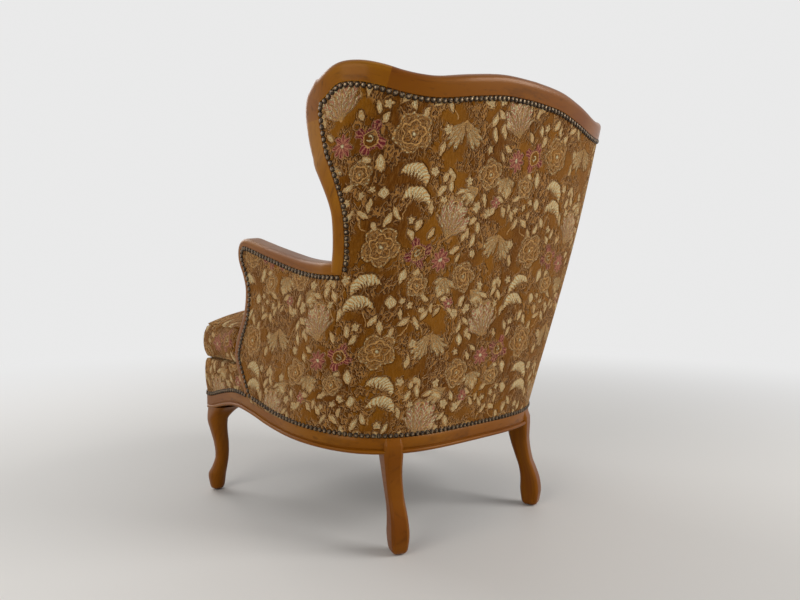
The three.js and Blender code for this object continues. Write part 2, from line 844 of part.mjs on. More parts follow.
function post_ring(up) {
  const normal = barrel_normal(post_along, up);
  const flat = new THREE.Vector3(normal.x, normal.y, 0).normalize();
  const centre = barrel(post_along, up).addScaledVector(flat, -frame_set_in - post_thickness / 2);
  return chamfered_ring(centre, new THREE.Vector3(0, 0, 1).cross(flat), flat, post_width, post_thickness);
}

function rear_leg() {
  const block = rear_rail_frame.at.clone().addScaledVector(rear_out, rear_block_proud - rear_block_depth / 2);
  const foot = spot(rear_foot_across, 0, 0);
  const edge_up = rear_rail_frame.at.z;
  const ring = (centre, up, width, depth) => (
    chamfered_ring(centre.clone().setZ(up), rear_side, rear_out, width, depth)
  );
  const station = (up, to_block, width, depth) => ring(foot.clone().lerp(block, to_block), up, width, depth);
  const shallow = rear_block_depth - rear_block_proud;
  const behind_rabbet = shallow - rail_rabbet;
  const flush = block.clone().addScaledVector(rear_out, -rear_block_proud / 2);
  const set_back = flush.clone().addScaledVector(rear_out, -rail_rabbet / 2);
  const post_top = rim_line(rim_share_at(post_along)).y - wood_inner_drop - joint_gap;
  const [over, widening, deepening] = rear_knee_shares;
  return loft([
    ...rear_foot_shares.map(([rise, width, depth]) => station(
      mix(glide_thickness, rear_foot_swell_up, rise),
      0,
      rear_foot_width * width,
      rear_foot_depth * depth,
    )),
    ...rear_ankle_shares.map(([rise, to_block, narrowing]) => station(
      mix(rear_foot_swell_up, rear_ankle_up, rise),
      to_block,
      mix(rear_foot_width, rear_ankle_width, narrowing),
      mix(rear_foot_depth, rear_ankle_depth, narrowing),
    )),
    station(
      (rear_ankle_up + rear_block_foot_up) / 2,
      over,
      mix(rear_ankle_width, rear_block_width, widening),
      mix(rear_ankle_depth, rear_block_depth, deepening),
    ),
    station(rear_block_foot_up, 1, rear_block_width, rear_block_depth),
    station(edge_up - rear_block_bevel, 1, rear_block_width, rear_block_depth),
    ring(flush, edge_up - joint_gap, rear_block_width, shallow),
    ring(set_back, edge_up + joint_gap, rear_block_width, behind_rabbet),
    ring(set_back, rail_top_up, rear_block_width, behind_rabbet),
    ...spread(rail_top_up + rear_block_depth, post_top, 4).map(post_ring),
  ]);
}

const front_leg_body = front_leg();
const rear_leg_body = rear_leg();

// Turned shapes: a profile of [radius, distance along] pairs
function turned(profile, start, way, sides) {
  const shape = new THREE.LatheGeometry(profile.map(([r, l]) => new THREE.Vector2(r, l)), sides);
  const body = bare(shape);
  body.applyQuaternion(new THREE.Quaternion().setFromUnitVectors(new THREE.Vector3(0, 1, 0), way));
  body.translate(start.x, start.y, start.z);
  return body;
}

// Blocks glued behind the legs: a triangle in each front corner, a straight block at the rear
const block_middle_up = corner_block_top_up - corner_block_height / 2;

function corner_block(outline) {
  return plate(outline, corner_block_top_up - corner_block_height, corner_block_top_up);
}

function plate(outline, low, high) {
  const shape = new THREE.Shape(outline.map((p) => new THREE.Vector2(p.x, p.y)));
  const body = new THREE.ExtrudeGeometry(shape, { depth: high - low, bevelEnabled: false, steps: 1 });
  body.translate(0, 0, low);
  return bare(body);
}

const front_inward = new THREE.Vector3(-Math.SQRT1_2, Math.SQRT1_2, 0);
const front_crossways = new THREE.Vector3(Math.SQRT1_2, Math.SQRT1_2, 0);
const front_block_tip = spot(
  seat_front_across - front_block_width / 2,
  seat_front_ahead - front_block_width / 2,
  block_middle_up,
);
const front_block_face = front_block_tip.clone()
  .addScaledVector(front_inward, front_block_width * Math.SQRT1_2 + rail_thickness / 2);
const front_block_outline = [
  front_block_tip,
  front_block_face.clone().addScaledVector(front_crossways, corner_block_reach / 2),
  front_block_face.clone().addScaledVector(front_crossways, -corner_block_reach / 2),
];
const rear_inward = rear_out.clone().negate();
const rear_block_back = rear_rail_frame.at.clone().setZ(block_middle_up)
  .addScaledVector(rear_inward, rail_thickness / 2);
const rear_block_face = rear_rail_frame.at.clone().setZ(block_middle_up)
  .addScaledVector(rear_inward, rear_block_depth + rail_thickness / 2);
const half_reach = corner_block_reach / 2;
const rear_block_outline = [
  rear_block_back.clone().addScaledVector(rear_side, half_reach),
  rear_block_back.clone().addScaledVector(rear_side, -half_reach),
  rear_block_face.clone().addScaledVector(rear_side, -half_reach),
  rear_block_face.clone().addScaledVector(rear_side, half_reach),
];

// A bolt whose head lies on a block's face and whose shank runs through it into the leg
function bolt(face, inward) {
  const under_head = bolt_length + seat_gap;
  const profile = [
    [0, 0], [bolt_radius, 0], [bolt_radius, under_head], [bolt_head_radius, under_head],
    [bolt_head_radius, under_head + bolt_head_height], [0, under_head + bolt_head_height],
  ];
  return turned(profile, face.clone().addScaledVector(inward, -bolt_length), inward, 8);
}

function glide(across, ahead) {
  const top = glide_thickness - seat_gap;
  const pin_top = glide_thickness + glide_pin_length;
  const profile = [
    [0, 0], [glide_radius - glide_thickness / 2, 0], [glide_radius, glide_thickness / 2], [glide_radius, top],
    [glide_pin_radius, top], [glide_pin_radius, pin_top], [0, pin_top],
  ];
  return turned(profile, spot(across, ahead, 0), new THREE.Vector3(0, 0, 1), 8);
}

const front_bolt = bolt(front_block_face, front_inward);
const rear_bolt = bolt(rear_block_face, rear_inward);
const front_glide = glide(front_foot_across, front_foot_ahead);
const rear_glide = glide(rear_foot_across, 0);
add_pair('front_leg', cut(front_leg_body, front_bolt, front_glide), wood);
add_pair('rear_leg_and_post', cut(rear_leg_body, rear_bolt, rear_glide), wood);
add_pair('front_glide', front_glide, glide_plastic);
add_pair('rear_glide', rear_glide, glide_plastic);
add_pair('front_corner_bolt', front_bolt, steel);
add_pair('rear_corner_bolt', rear_bolt, steel);

// Seat rails
const front_shares = spread(corner_out_share, 1, 7);
const side_shares = spread(rear_leg_share, corner_in_share, 12);
const back_shares = spread(-rear_leg_share, rear_leg_share, 8);
const front_rail = cut(sweep(rail_outline, seat_frames(with_mirror(front_shares))), ...both(front_leg_body));
const side_rail = cut(sweep(rail_outline, seat_frames(side_shares)), rear_leg_body, front_leg_body);
const back_rail = cut(sweep(rail_outline, seat_frames(back_shares)), ...both(rear_leg_body));
add('front_rail', front_rail, wood);
add_pair('side_rail', side_rail, wood);
add('back_rail', back_rail, wood);
add_pair('front_corner_block', cut(
  corner_block(front_block_outline),
  side_rail,
  front_rail,
  front_leg_body,
  front_bolt,
), inner_wood);
add_pair('rear_corner_block', cut(
  corner_block(rear_block_outline),
  side_rail,
  back_rail,
  rear_leg_body,
  rear_bolt,
), inner_wood);

// Show-wood: one section, rabbeted for the cover outside, with a rounded free edge
function rim_outline(height) {
  const inner = wood_proud - wood_thickness;
  const round = Math.min(wood_edge_radius, height / 2);
  const eased = round * (1 - Math.SQRT1_2);
  return [
    [-cover_rabbet, -wood_inner_drop],
    [-cover_rabbet, joint_gap],
    [wood_proud, joint_gap],
    [wood_proud, height - round],
    [wood_proud - eased, height - eased],
    [wood_proud - round, height],
    [inner + round, height],
    [inner + eased, height - eased],
    [inner, height - round],
    [inner, -wood_inner_drop],
  ];
}

// How far the wood stands past the cover's edge, along the crest and wing and along the side
function rim_height(share) {
  const [swell_start, swell_end, fall_start, fall_end] = rim_swell_shares;
  const round = THREE.MathUtils.smoothstep(Math.abs(share), swell_start, swell_end);
  const down = THREE.MathUtils.smoothstep(Math.abs(share), fall_start, fall_end);
  return mix(mix(crest_show_height, corner_show_height, round), wing_show_height, down);
}
function side_height(share) {
  const knuckle = THREE.MathUtils.smoothstep(share, 0, side_corner_share);
  const neck = THREE.MathUtils.smoothstep(share, side_corner_share, side_joint_share);
  const belly = THREE.MathUtils.smoothstep(share, side_joint_share, stump_belly_share);
  const arm = mix(arm_show_height, arm_knuckle_height, knuckle);
  return mix(mix(arm, stump_neck_width, neck), stump_show_width, belly);
}
const rim_section = (frame) => rim_outline(rim_height(frame.share));
const side_section = (frame) => rim_outline(side_height(frame.share));

function rim_frame(share) {
  const twin = barrel_frame(rim_line, Math.abs(share));
  if (share >= 0) return twin;
  const flip = new THREE.Vector3(-1, 1, 1);
  return { at: twin.at.multiply(flip), out: twin.out.multiply(flip), edge: twin.edge.multiply(flip), share };
}
const rim_frames = (shares) => shares.map(rim_frame);

const line_gap_share = joint_gap / crest_level_up;
const after_joint = (shares) => [shares[0] + line_gap_share, ...shares.slice(1)];
const crest_shares = spread(-rim_joint_share, rim_joint_share, 24);
const wing_shares = spread(rim_joint_share, rim_post_share, 8);
const post_shares = spread(rim_post_share, rim_end_share, 9);
const arm_shares = spread(0, side_joint_share, 16);
const stump_shares = spread(side_joint_share, side_end_share, 13);

const arm_rail = sweep(side_section, frames_along(side_line, arm_shares));
const arm_stump = cut(sweep(side_section, frames_along(side_line, after_joint(stump_shares))), side_rail);
const wing_rail = sweep(rim_section, rim_frames(after_joint(wing_shares)));
const wing_post = cut(sweep(rim_section, rim_frames(after_joint(post_shares))), arm_rail);
const crest_rail = cut(sweep(rim_section, rim_frames(crest_shares)), ...both(rear_leg_body));
add('crest_rail', crest_rail, wood);
add_pair('wing_rail', wing_rail, wood);
add_pair('wing_post', wing_post, wood);
add_pair('arm_rail', arm_rail, wood);
add_pair('arm_stump', arm_stump, wood);
const side_wood = [wing_rail, wing_post, arm_rail, arm_stump, side_rail, rear_leg_body];
const all_wood = [crest_rail, back_rail, front_rail, ...both(...side_wood, front_leg_body)];

// Rails inside the covers
function inner_rail(start, end, up, height, thickness, count) {
  const outer = -frame_set_in;
  const outline = [
    [outer - thickness, -height / 2],
    [outer, -height / 2],
    [outer, height / 2],
    [outer - thickness, height / 2],
  ];
  const level = (along) => new THREE.Vector2(along, up);
  return sweep(() => outline, frames_along(level, spread(start, end, count)));
}

const arm_link_up = arm_line_rear_up - wood_inner_drop + arm_link_height / 2;
const stump_along = along_for(stump_belly_ahead, stretcher_up);
const lower_back_stretcher = cut(
  inner_rail(-post_along, post_along, stretcher_up, stretcher_height, stretcher_thickness, 8),
  ...both(rear_leg_body),
);
const arm_stretcher = cut(
  inner_rail(post_along, stump_along, stretcher_up, stretcher_height, stretcher_thickness, 10),
  rear_leg_body,
  arm_stump,
);
const arm_link = cut(
  inner_rail(post_along, side_line(0).x, arm_link_up, arm_link_height, post_thickness, 6),
  rear_leg_body,
  arm_rail,
  wing_post,
);
add('lower_back_stretcher', lower_back_stretcher, inner_wood);
add_pair('arm_stretcher', arm_stretcher, inner_wood);
add_pair('arm_link', arm_link, inner_wood);

// Springs: wires bent to and fro across the seat, from a steel strip at the back to one in front
const strip_up = rail_top_up + joint_gap;
const spring_up = strip_up + spring_strip_thickness + joint_gap + spring_wire_radius;

// How far ahead the middle lines of the back and front rails run at a place across the seat
function back_rail_ahead(across) {
  const share = bisect(0, rear_leg_share, (s) => seat_plan.getPointAt(s).x < Math.abs(across));
  return seat_plan.getPointAt(share).y + rail_thickness / 2;
}
function front_rail_ahead(across) {
  const share = bisect(corner_out_share, 1, (s) => seat_plan.getPointAt(s).x > Math.abs(across));
  return seat_plan.getPointAt(share).y - rail_thickness / 2;
}

function seat_wire(across) {
  const start = back_rail_ahead(across);
  const end = front_rail_ahead(across);
  const loops = Math.round((end - start) / spring_half_loop);
  const points = steps(loops * wire_loop_steps).map((share) => spot(
    across + spring_swing * Math.sin(share * loops * Math.PI),
    mix(start, end, share),
    spring_up,
  ));
  const section = [[1, 0], [0, 1], [-1, 0], [0, -1]].map(([x, y]) => (
    new THREE.Vector2(x * spring_wire_radius, y * spring_wire_radius)
  ));
  return bare(new THREE.ExtrudeGeometry(new THREE.Shape(section), {
    steps: loops * wire_loop_steps,
    extrudePath: new THREE.CatmullRomCurve3(points),
    bevelEnabled: false,
  }));
}

function spring_strip(ahead_of) {
  const half_span = spring_spacing * (spring_count - 1) / 2 + spring_swing;
  const half_width = spring_strip_width / 2;
  return loft(spread(-half_span, half_span, 8).map((across) => [
    spot(across, ahead_of(across) - half_width, strip_up),
    spot(across, ahead_of(across) + half_width, strip_up),
    spot(across, ahead_of(across) + half_width, strip_up + spring_strip_thickness),
    spot(across, ahead_of(across) - half_width, strip_up + spring_strip_thickness),
  ]));
}

for (let i = 0; i < spring_count; i += 1) {
  add(`seat_spring_${i + 1}`, seat_wire((i - (spring_count - 1) / 2) * spring_spacing), steel);
}
add('rear_spring_strip', spring_strip(back_rail_ahead), steel);
add('front_spring_strip', spring_strip(front_rail_ahead), steel);

// Places set in from the rails' outside by so much
function set_in_place(share, set_in) {
  const frame = seat_frame(share);
  return frame.at.clone().addScaledVector(frame.out, -set_in);
}
const both_sides = (half) => [
  ...half,
  ...half.slice(1, -1).reverse().map((p) => p.clone().multiply(new THREE.Vector3(-1, 1, 1))),
];

const border_start_share = seat_share_at(stump_foot_ahead);
const border_full_share = seat_share_at(cushion_ear_behind_ahead);
const ear_share = seat_share_at(stump_belly_ahead + stump_show_width + overrun);
const deck_outline = both_sides([
  ...spread(0, ear_share, 12).map((share) => set_in_place(share, wood_thickness + overrun)),
  ...spread(ear_share, corner_in_share, 2).map((share) => set_in_place(share, rail_rabbet + seat_gap)),
  ...front_shares.map((share) => set_in_place(share, rail_rabbet + seat_gap)),
]);
const burlap_low = spring_up + spring_wire_radius + joint_gap;
const spring_burlap = cut(
  plate(deck_outline, burlap_low, burlap_low + burlap_thickness),
  ...both(rear_leg_body),
);
const seat_deck = cut(
  plate(deck_outline, burlap_low + burlap_thickness + joint_gap, deck_top_up),
  ...both(rear_leg_body),
);
add('spring_burlap', spring_burlap, burlap_cloth);
add('seat_deck', seat_deck, velvet);

// The dust cover under the seat rises and falls with the rails' lower edges
const dust_shares = [...spread(rear_leg_share, corner_in_share, 12), ...front_shares.slice(1, -1)];
const dust_rows = (lift) => dust_shares.map((share) => {
  const place = set_in_place(share, rail_thickness + seat_gap);
  place.z += lift - rail_show_height;
  return [place.clone().multiply(new THREE.Vector3(-1, 1, 1)), place];
});
add('dust_cover', cut(
  slab(dust_rows(dust_cover_lift), dust_rows(dust_cover_lift + dust_cover_thickness)),
  front_rail,
  back_rail,
  ...both(side_rail, front_leg_body, rear_leg_body),
), black_cloth);

// The seat's upholstered front border, from one arm stump round to the other
function border_outline(frame) {
  const top = deck_top_up - frame.at.z;
  const inner = joint_gap - rail_rabbet;
  const swell = THREE.MathUtils.smoothstep(Math.abs(frame.share), border_start_share, border_full_share);
  const bulge = border_bulge * mix(border_end_share, 1, swell);
  return [
    [inner, 0],
    [0, 0],
    [0, nail_line_set_in * 2],
    ...border_bulge_shares.map(([out, rise]) => [bulge * out, top * rise]),
    [0, top],
    [inner, top],
  ];
}
const border_shares = [
  ...spread(border_start_share, corner_in_share, 7),
  ...spread(corner_in_share, corner_out_share, 3).slice(1),
  ...front_shares.slice(1),
];
const seat_front_border = cut(
  sweep(border_outline, seat_frames(with_mirror(border_shares))),
  front_rail,
  seat_deck,
  ...both(side_rail, front_leg_body, arm_stump),
);
add('seat_front_border', seat_front_border, velvet);

// A place inside four edges, each given as a function of the share along it
function inside_edges({ low, high, left, right }, u, v) {
  const weights = [
    [low(u), 1 - v], [high(u), v], [left(v), 1 - u], [right(v), u],
    [low(0), (u - 1) * (1 - v)], [low(1), -u * (1 - v)], [high(0), (u - 1) * v], [high(1), -u * v],
  ];
  return weights.reduce((sum, [place, weight]) => sum.addScaledVector(place, weight), new THREE.Vector2());
}

// The outside cover: one wrap from stump to stump, below the arms and up to the crest
const wing_foot = side_line(0);
const stump_foot = side_line(1);
const up_the_wing = (share) => 1 - share * (1 - rim_corner_share);

const upper_edges = {
  low: (u) => new THREE.Vector2(u * wing_foot.x, wing_foot.y),
  high: (u) => rim_line(u * rim_corner_share),
  left: (v) => new THREE.Vector2(0, mix(wing_foot.y, crest_middle_up, v)),
  right: (v) => rim_line(up_the_wing(v)),
};

const rail_place = (along) => new THREE.Vector2(along, seat_edge_up(seat_share_of(along)) + joint_gap);
const arm_edges = {
  low: (u) => rail_place(mix(wing_foot.x, stump_foot.x, u)),
  high: (u) => side_line(u * side_corner_share),
  left: (v) => new THREE.Vector2(wing_foot.x, mix(rail_place(wing_foot.x).y, wing_foot.y, v)),
  right: (v) => side_line(mix(1, side_corner_share, v)),
};

function lower_back_place(u, v) {
  const low = rail_place(u * wing_foot.x);
  return low.lerp(new THREE.Vector2(u * wing_foot.x, wing_foot.y), v);
}

// Columns run from the middle of the back, 1 at the wing's foot and 2 at the stump
function wrap_place(column, row) {
  const reach = Math.abs(column);
  const share = row / wrap_low_rows;
  let place;
  if (row > wrap_low_rows) {
    place = inside_edges(upper_edges, Math.min(reach, 1), (row - wrap_low_rows) / wrap_high_rows);
  } else {
    place = reach <= 1 ? lower_back_place(reach, share) : inside_edges(arm_edges, reach - 1, share);
  }
  return column < 0 ? new THREE.Vector2(-place.x, place.y) : place;
}

function on_barrel_at({ x, y }, depth) {
  return barrel(x, y).addScaledVector(barrel_normal(x, y), -depth);
}

const half_columns = [...steps(wrap_back_columns), ...spread(1, 2, wrap_arm_columns).slice(1)];
const wrap_columns = [...half_columns.slice(1).reverse().map((column) => -column), ...half_columns];
const wrap_rows = Array.from({ length: wrap_low_rows + wrap_high_rows + 1 }, (_, row) => row);
const wrap_grid = (depth) => wrap_rows.map((row) => (
  wrap_columns.map((column) => on_barrel_at(wrap_place(column, row), depth))
));
const wrap_has = (r, c) => (
  r < wrap_low_rows || (Math.abs(wrap_columns[c]) <= 1 && Math.abs(wrap_columns[c + 1]) <= 1)
);
const outside_cover = cut(
  slab(wrap_grid(0), wrap_grid(cover_thickness), wrap_has),
  crest_rail,
  back_rail,
  ...both(...side_wood),
);
add('outside_cover', outside_cover, velvet);

// Inside pads, from the seat deck up to the show-wood
function pad(columns, rows, place_at, depth_at) {
  const grid = (depth_of) => steps(rows).map((v) => steps(columns).map((u) => (
    on_barrel_at(place_at(u, v), depth_of(u, v))
  )));
  return slab(grid(() => wood_thickness - wood_proud + pad_behind_wood), grid(depth_at));
}

// A place on a show-wood line, moved away from the wood by the pad's drop
function under_wood(line, share) {
  const frame = barrel_frame(line, share);
  const { x, y } = line(share);
  const up = y - seat_gap * Math.max(frame.edge.z, 0);
  const behind = seat_gap * Math.max(-frame.edge.y, 0);
  return new THREE.Vector2(behind > 0 ? along_for(-barrel(x, up).y - behind, up) : x, up);
}
const pad_foot_up = deck_top_up + seat_gap;
const split_share = rim_share_at(back_pad_end_along);
const split_top = under_wood(rim_line, split_share);

const inside_back_pad = cut(pad(12, 6, (u, v) => {
  const side = 2 * u - 1;
  const top = rim_line(side * split_share).y - seat_gap;
  return new THREE.Vector2(side * back_pad_end_along, mix(pad_foot_up, top, v));
}, (u, v) => {
  const side = Math.abs(2 * u - 1);
  const middle = mix(back_pad_depth, corner_pad_depth, side ** 2);
  const above_lumbar = (v - back_lumbar_share) / back_lumbar_share;
  const lumbar = back_pad_lumbar * (1 - side ** 2) * Math.exp(-(above_lumbar ** 2));
  return mix(middle, pad_edge_depth, THREE.MathUtils.smoothstep(v, back_pad_thin_share, 1)) + lumbar;
}), ...both(rear_leg_body));
add('inside_back_pad', inside_back_pad, velvet);

const wing_pad_edges = {
  low: (u) => new THREE.Vector2(mix(split_top.x, under_wood(rim_line, 1).x, u), arm_line_rear_up),
  high: (u) => under_wood(rim_line, mix(split_share, rim_corner_share, u)),
  left: (v) => new THREE.Vector2(split_top.x, mix(arm_line_rear_up, split_top.y, v)),
  right: (v) => under_wood(rim_line, up_the_wing(v)),
};
const inside_wing_pad = cut(pad(5, 5, (u, v) => inside_edges(wing_pad_edges, u, v), (u, v) => {
  const middle = mix(corner_pad_depth, wing_pad_depth, u);
  return mix(middle, pad_edge_depth, Math.max(u, v) ** wing_pad_turn_power);
}), ...both(inside_back_pad));
add_pair('inside_wing_pad', inside_wing_pad, velvet);

// The arm pad stops a little below the wing pad, so the wing pad also cuts it from lower down
const lowered_wing_pad = bare(inside_wing_pad).translate(0, 0, -seat_gap);
const arm_pad_front = along_for(stump_belly_ahead - stump_show_width, pad_foot_up);
function arm_pad_top(u) {
  if (u > arm_pad_wing_share) {
    const share = (u - arm_pad_wing_share) / (1 - arm_pad_wing_share);
    return under_wood(side_line, share * side_corner_share);
  }
  const along = mix(split_top.x, wing_foot.x, u / arm_pad_wing_share);
  return new THREE.Vector2(along, arm_line_rear_up - 2 * seat_gap);
}
const arm_pad_place = (u, v) => (
  new THREE.Vector2(mix(split_top.x, arm_pad_front, u), pad_foot_up).lerp(arm_pad_top(u), v)
);
const inside_arm_pad = cut(
  pad(8, 4, arm_pad_place, (u, v) => mix(arm_pad_depth, pad_edge_depth, v ** arm_pad_turn_power)),
  ...both(inside_back_pad),
  inside_wing_pad,
  lowered_wing_pad,
  rear_leg_body,
);
add_pair('inside_arm_pad', inside_arm_pad, velvet);

// The loose seat cushion: a T in plan, boxed, with a crown and sides that draw in
function cushion_outline() {
  const rest_up = deck_top_up + cushion_border_height / 2;
  const neck_along = along_for(cushion_ear_behind_ahead - cushion_notch_radius, rest_up);
  const behind_neck = steps(9).map((share) => {
    const side = Math.min(1, share * neck_along / back_pad_end_along);
    const depth = mix(back_pad_depth + back_pad_lumbar, corner_pad_depth, side ** 2) + cushion_side_clear;
    const place = on_barrel_at(new THREE.Vector2(share * neck_along, rest_up), depth);
    return [place.x, -place.y];
  });
  const neck_across = behind_neck[behind_neck.length - 1][0];
  const side = seat_front_across + border_bulge;
  const behind = cushion_ear_behind_ahead;
  const front = seat_front_ahead + cushion_front_overhang;
  const round = cushion_corner_radius;
  const eased = round * (1 - Math.SQRT1_2);
  const tight = cushion_ear_round_share;
  const ear = [
    [neck_across + cushion_notch_radius, behind],
    [side - round * tight, behind],
    [side - eased * tight, behind + eased * tight],
    [side, behind + round * tight],
    [side - cushion_draw_in, (behind + front) / 2],
    [side, front - round],
    [side - eased, front - eased],
    [side - round, front],
  ];
  const bow = cushion_bow_shares.map(([out, bowed]) => (
    [side * out, front + front_bow * bowed - cushion_draw_in * (out > 0 ? 1 : 0)]
  ));
  const half = [...behind_neck, ...ear, ...bow].map(([across, ahead]) => spot(across, ahead, 0));
  return new THREE.CatmullRomCurve3(both_sides(half), true, 'centripetal');
}

function cushion() {
  const curve = cushion_outline();
  const outline = steps(cushion_stations).slice(0, cushion_stations).map((share) => curve.getPoint(share));
  const middle = spot(0, mix(cushion_ear_behind_ahead, seat_front_ahead, cushion_middle_share), 0);
  const low = deck_top_up + seat_gap;
  const seam_low = low + cushion_foot_rise;
  const seam_high = seam_low + cushion_border_height;
  const ring = (shrink, set_in, up) => outline.map((p) => {
    const inward = middle.clone().sub(p);
    return p.clone().addScaledVector(inward, shrink)
      .addScaledVector(inward.normalize(), set_in)
      .setZ(up);
  });
  return loft([
    ring(cushion_foot_share, cushion_seam_set_in, low),
    ...cushion_side_shares.map(([rise, set_in]) => (
      ring(0, cushion_seam_set_in * set_in, mix(seam_low, seam_high, rise))
    )),
    ...cushion_crown_shares.map((shrink) => ring(
      shrink,
      cushion_seam_set_in * (1 - shrink),
      seam_high + cushion_crown * (1 - (1 - shrink) ** cushion_crown_power),
    )),
  ]);
}
const pads = [inside_back_pad, ...both(inside_wing_pad, inside_arm_pad)];
add('seat_cushion', cut(cushion(), ...pads, ...both(arm_stump, arm_rail)), velvet);

// Nail trims: bands of close-set nails along every edge of the covers
function band(middle) {
  const half = nail_band_width / 2;
  const top = seat_gap + nail_band_thickness;
  return () => [
    [seat_gap, middle - half],
    [top, middle - half / 2],
    [top, middle + half / 2],
    [seat_gap, middle + half],
  ];
}
const below_wood = band(-nail_line_set_in);
const above_rail = band(nail_line_set_in);

// Where the outside cover meets the rails, on the barrel's own slope
function cover_foot_frame(share) {
  const along = along_of_seat(Math.abs(share));
  const up = seat_edge_up(share);
  const [at, out] = [barrel(along, up), barrel_normal(along, up)];
  const edge = new THREE.Vector3(0, 0, 1).addScaledVector(out, -out.z).normalize();
  if (share < 0) [at, out, edge].forEach((way) => way.setX(-way.x));
  return { at, out, edge, share };
}

const trim_frames = (shares) => shares.map(cover_foot_frame);

const rim_trim_shares = with_mirror([
  ...post_shares.slice(1).reverse(),
  ...wing_shares.slice().reverse(),
  ...crest_shares.filter((share) => share >= 0 && share < rim_joint_share).reverse(),
]);
const side_trim_start = seat_share_at(stump_foot_ahead + stump_show_width);
add('crest_nail_trim', cut(sweep(below_wood, rim_frames(rim_trim_shares)), ...all_wood), bronze);
add_pair('arm_nail_trim', cut(
  sweep(below_wood, frames_along(side_line, [...arm_shares, ...stump_shares.slice(1, -1)])),
  ...all_wood,
), bronze);
add('back_nail_trim', sweep(above_rail, trim_frames(spread(-rear_leg_share, rear_leg_share, 16))), bronze);
add_pair('side_nail_trim', cut(
  sweep(above_rail, trim_frames(after_joint(spread(rear_leg_share, side_trim_start, 22)))),
  arm_stump,
), bronze);
add('front_nail_trim', cut(
  sweep(above_rail, seat_frames(with_mirror(border_shares.slice(1)))),
  ...both(arm_stump),
), bronze);

// The origin is the middle of the whole chair's foot
const bounds = new THREE.Box3().setFromObject(chair);
const middle = bounds.getCenter(new THREE.Vector3());
chair.position.set(-middle.x, -middle.y, -bounds.min.z);

export default chair;
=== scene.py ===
"""A winged barrel-back armchair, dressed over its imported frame.

Lengths below are millimetres, as in the part's source, and become metres where a mesh is made.
The sitter's left is +X and the front is -Y. The outside of the back and arms is one barrel-shaped
surface; a place on it is (along, up): along is 0 at the middle of the back, 1 where the side turns
straight and 2 at its front.
"""

import json
import math

import bmesh
import bpy
import numpy as np
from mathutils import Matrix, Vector
from mathutils import noise as noise_at


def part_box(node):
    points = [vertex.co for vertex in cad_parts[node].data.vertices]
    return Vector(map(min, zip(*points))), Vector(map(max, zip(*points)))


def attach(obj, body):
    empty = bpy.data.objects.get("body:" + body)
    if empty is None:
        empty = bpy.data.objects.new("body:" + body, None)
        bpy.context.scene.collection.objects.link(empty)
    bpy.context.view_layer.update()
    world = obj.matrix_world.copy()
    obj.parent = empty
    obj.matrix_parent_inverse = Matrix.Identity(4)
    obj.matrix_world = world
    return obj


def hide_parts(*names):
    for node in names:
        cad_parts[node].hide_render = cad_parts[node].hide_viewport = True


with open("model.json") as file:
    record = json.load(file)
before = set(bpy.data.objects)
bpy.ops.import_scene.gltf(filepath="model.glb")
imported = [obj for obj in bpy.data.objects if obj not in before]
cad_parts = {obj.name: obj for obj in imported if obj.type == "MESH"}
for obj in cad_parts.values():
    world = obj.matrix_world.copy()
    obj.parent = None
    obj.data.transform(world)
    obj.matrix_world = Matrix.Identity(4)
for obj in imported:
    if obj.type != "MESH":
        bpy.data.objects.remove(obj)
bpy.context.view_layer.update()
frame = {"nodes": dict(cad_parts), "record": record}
glide_low, glide_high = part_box("rear_glide_left")
MM = 0.001
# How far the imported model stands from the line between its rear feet
SHIFT_Y = (glide_low.y + glide_high.y) / 2

# Sizes of the frame, as in the part's source

REAR_FOOT_ACROSS, REAR_BLOCK_ACROSS = 214, 213
FRONT_FOOT_ACROSS, FRONT_FOOT_AHEAD = 313, 610
REAR_BLOCK_WIDTH, REAR_BLOCK_DEPTH, REAR_BLOCK_PROUD = 42, 52, 6
REAR_BLOCK_BEVEL, REAR_BLOCK_FOOT_UP = 15, 196
REAR_LEG_TURN = math.radians(22)
REAR_ANKLE_WIDTH, REAR_ANKLE_DEPTH, REAR_ANKLE_UP = 34, 35, 112
REAR_FOOT_WIDTH, REAR_FOOT_DEPTH, REAR_FOOT_SWELL_UP = 39, 45, 40
FRONT_BLOCK_WIDTH, FRONT_ANKLE_WIDTH, FRONT_TOE_WIDTH = 54, 33, 43
FRONT_TOE_UP, FRONT_ANKLE_UP, FRONT_KNEE_UP = 42, 88, 190
FRONT_ANKLE_SET_IN, FRONT_KNEE_FLARE = 13, 24
GLIDE_THICKNESS = 3

SEAT_LEVEL_UP, ARM_LEVEL_UP, CREST_LEVEL_UP = 240, 556, 899
# Plan of the barrel at the seat, the arms and the crest: back's place ahead, its flat half width,
# corner, where the side turns straight, and the side's front, each as (across, ahead)
SEAT_PLAN = (-13, 150, (328, -20), (328, 252), (330, 622))
ARM_PLAN = (-80, 170, (340, -85), (350, 67), (353, 400))
CREST_PLAN = (-167, 219, (379, -146), (388, 20), (390, 92))
FRONT_CORNER_RADIUS, FRONT_BOW, FRONT_BOW_FLAT = 18, 28, 110

RAIL_LOW_UP, RAIL_RISE, RAIL_SHOW_HEIGHT, RAIL_TOP_UP = 230.5, 45, 33, 300
RAIL_THICKNESS, RAIL_BEAD_RADIUS, RAIL_GROOVE_DEPTH, RAIL_RABBET = 30, 4, 1.5, 6
RAIL_WAVE = [
    (0, 0), (0.19, 0.02), (0.33, 0.2), (0.41, 0.34), (0.468, 0.53), (0.523, 0.8), (0.576, 0.97),
    (0.613, 0.93), (0.666, 0.64), (0.7, 0.42), (0.728, 0.42), (0.765, 0.83), (0.81, 1), (0.89, 0.86),
    (1, 0.7),
]

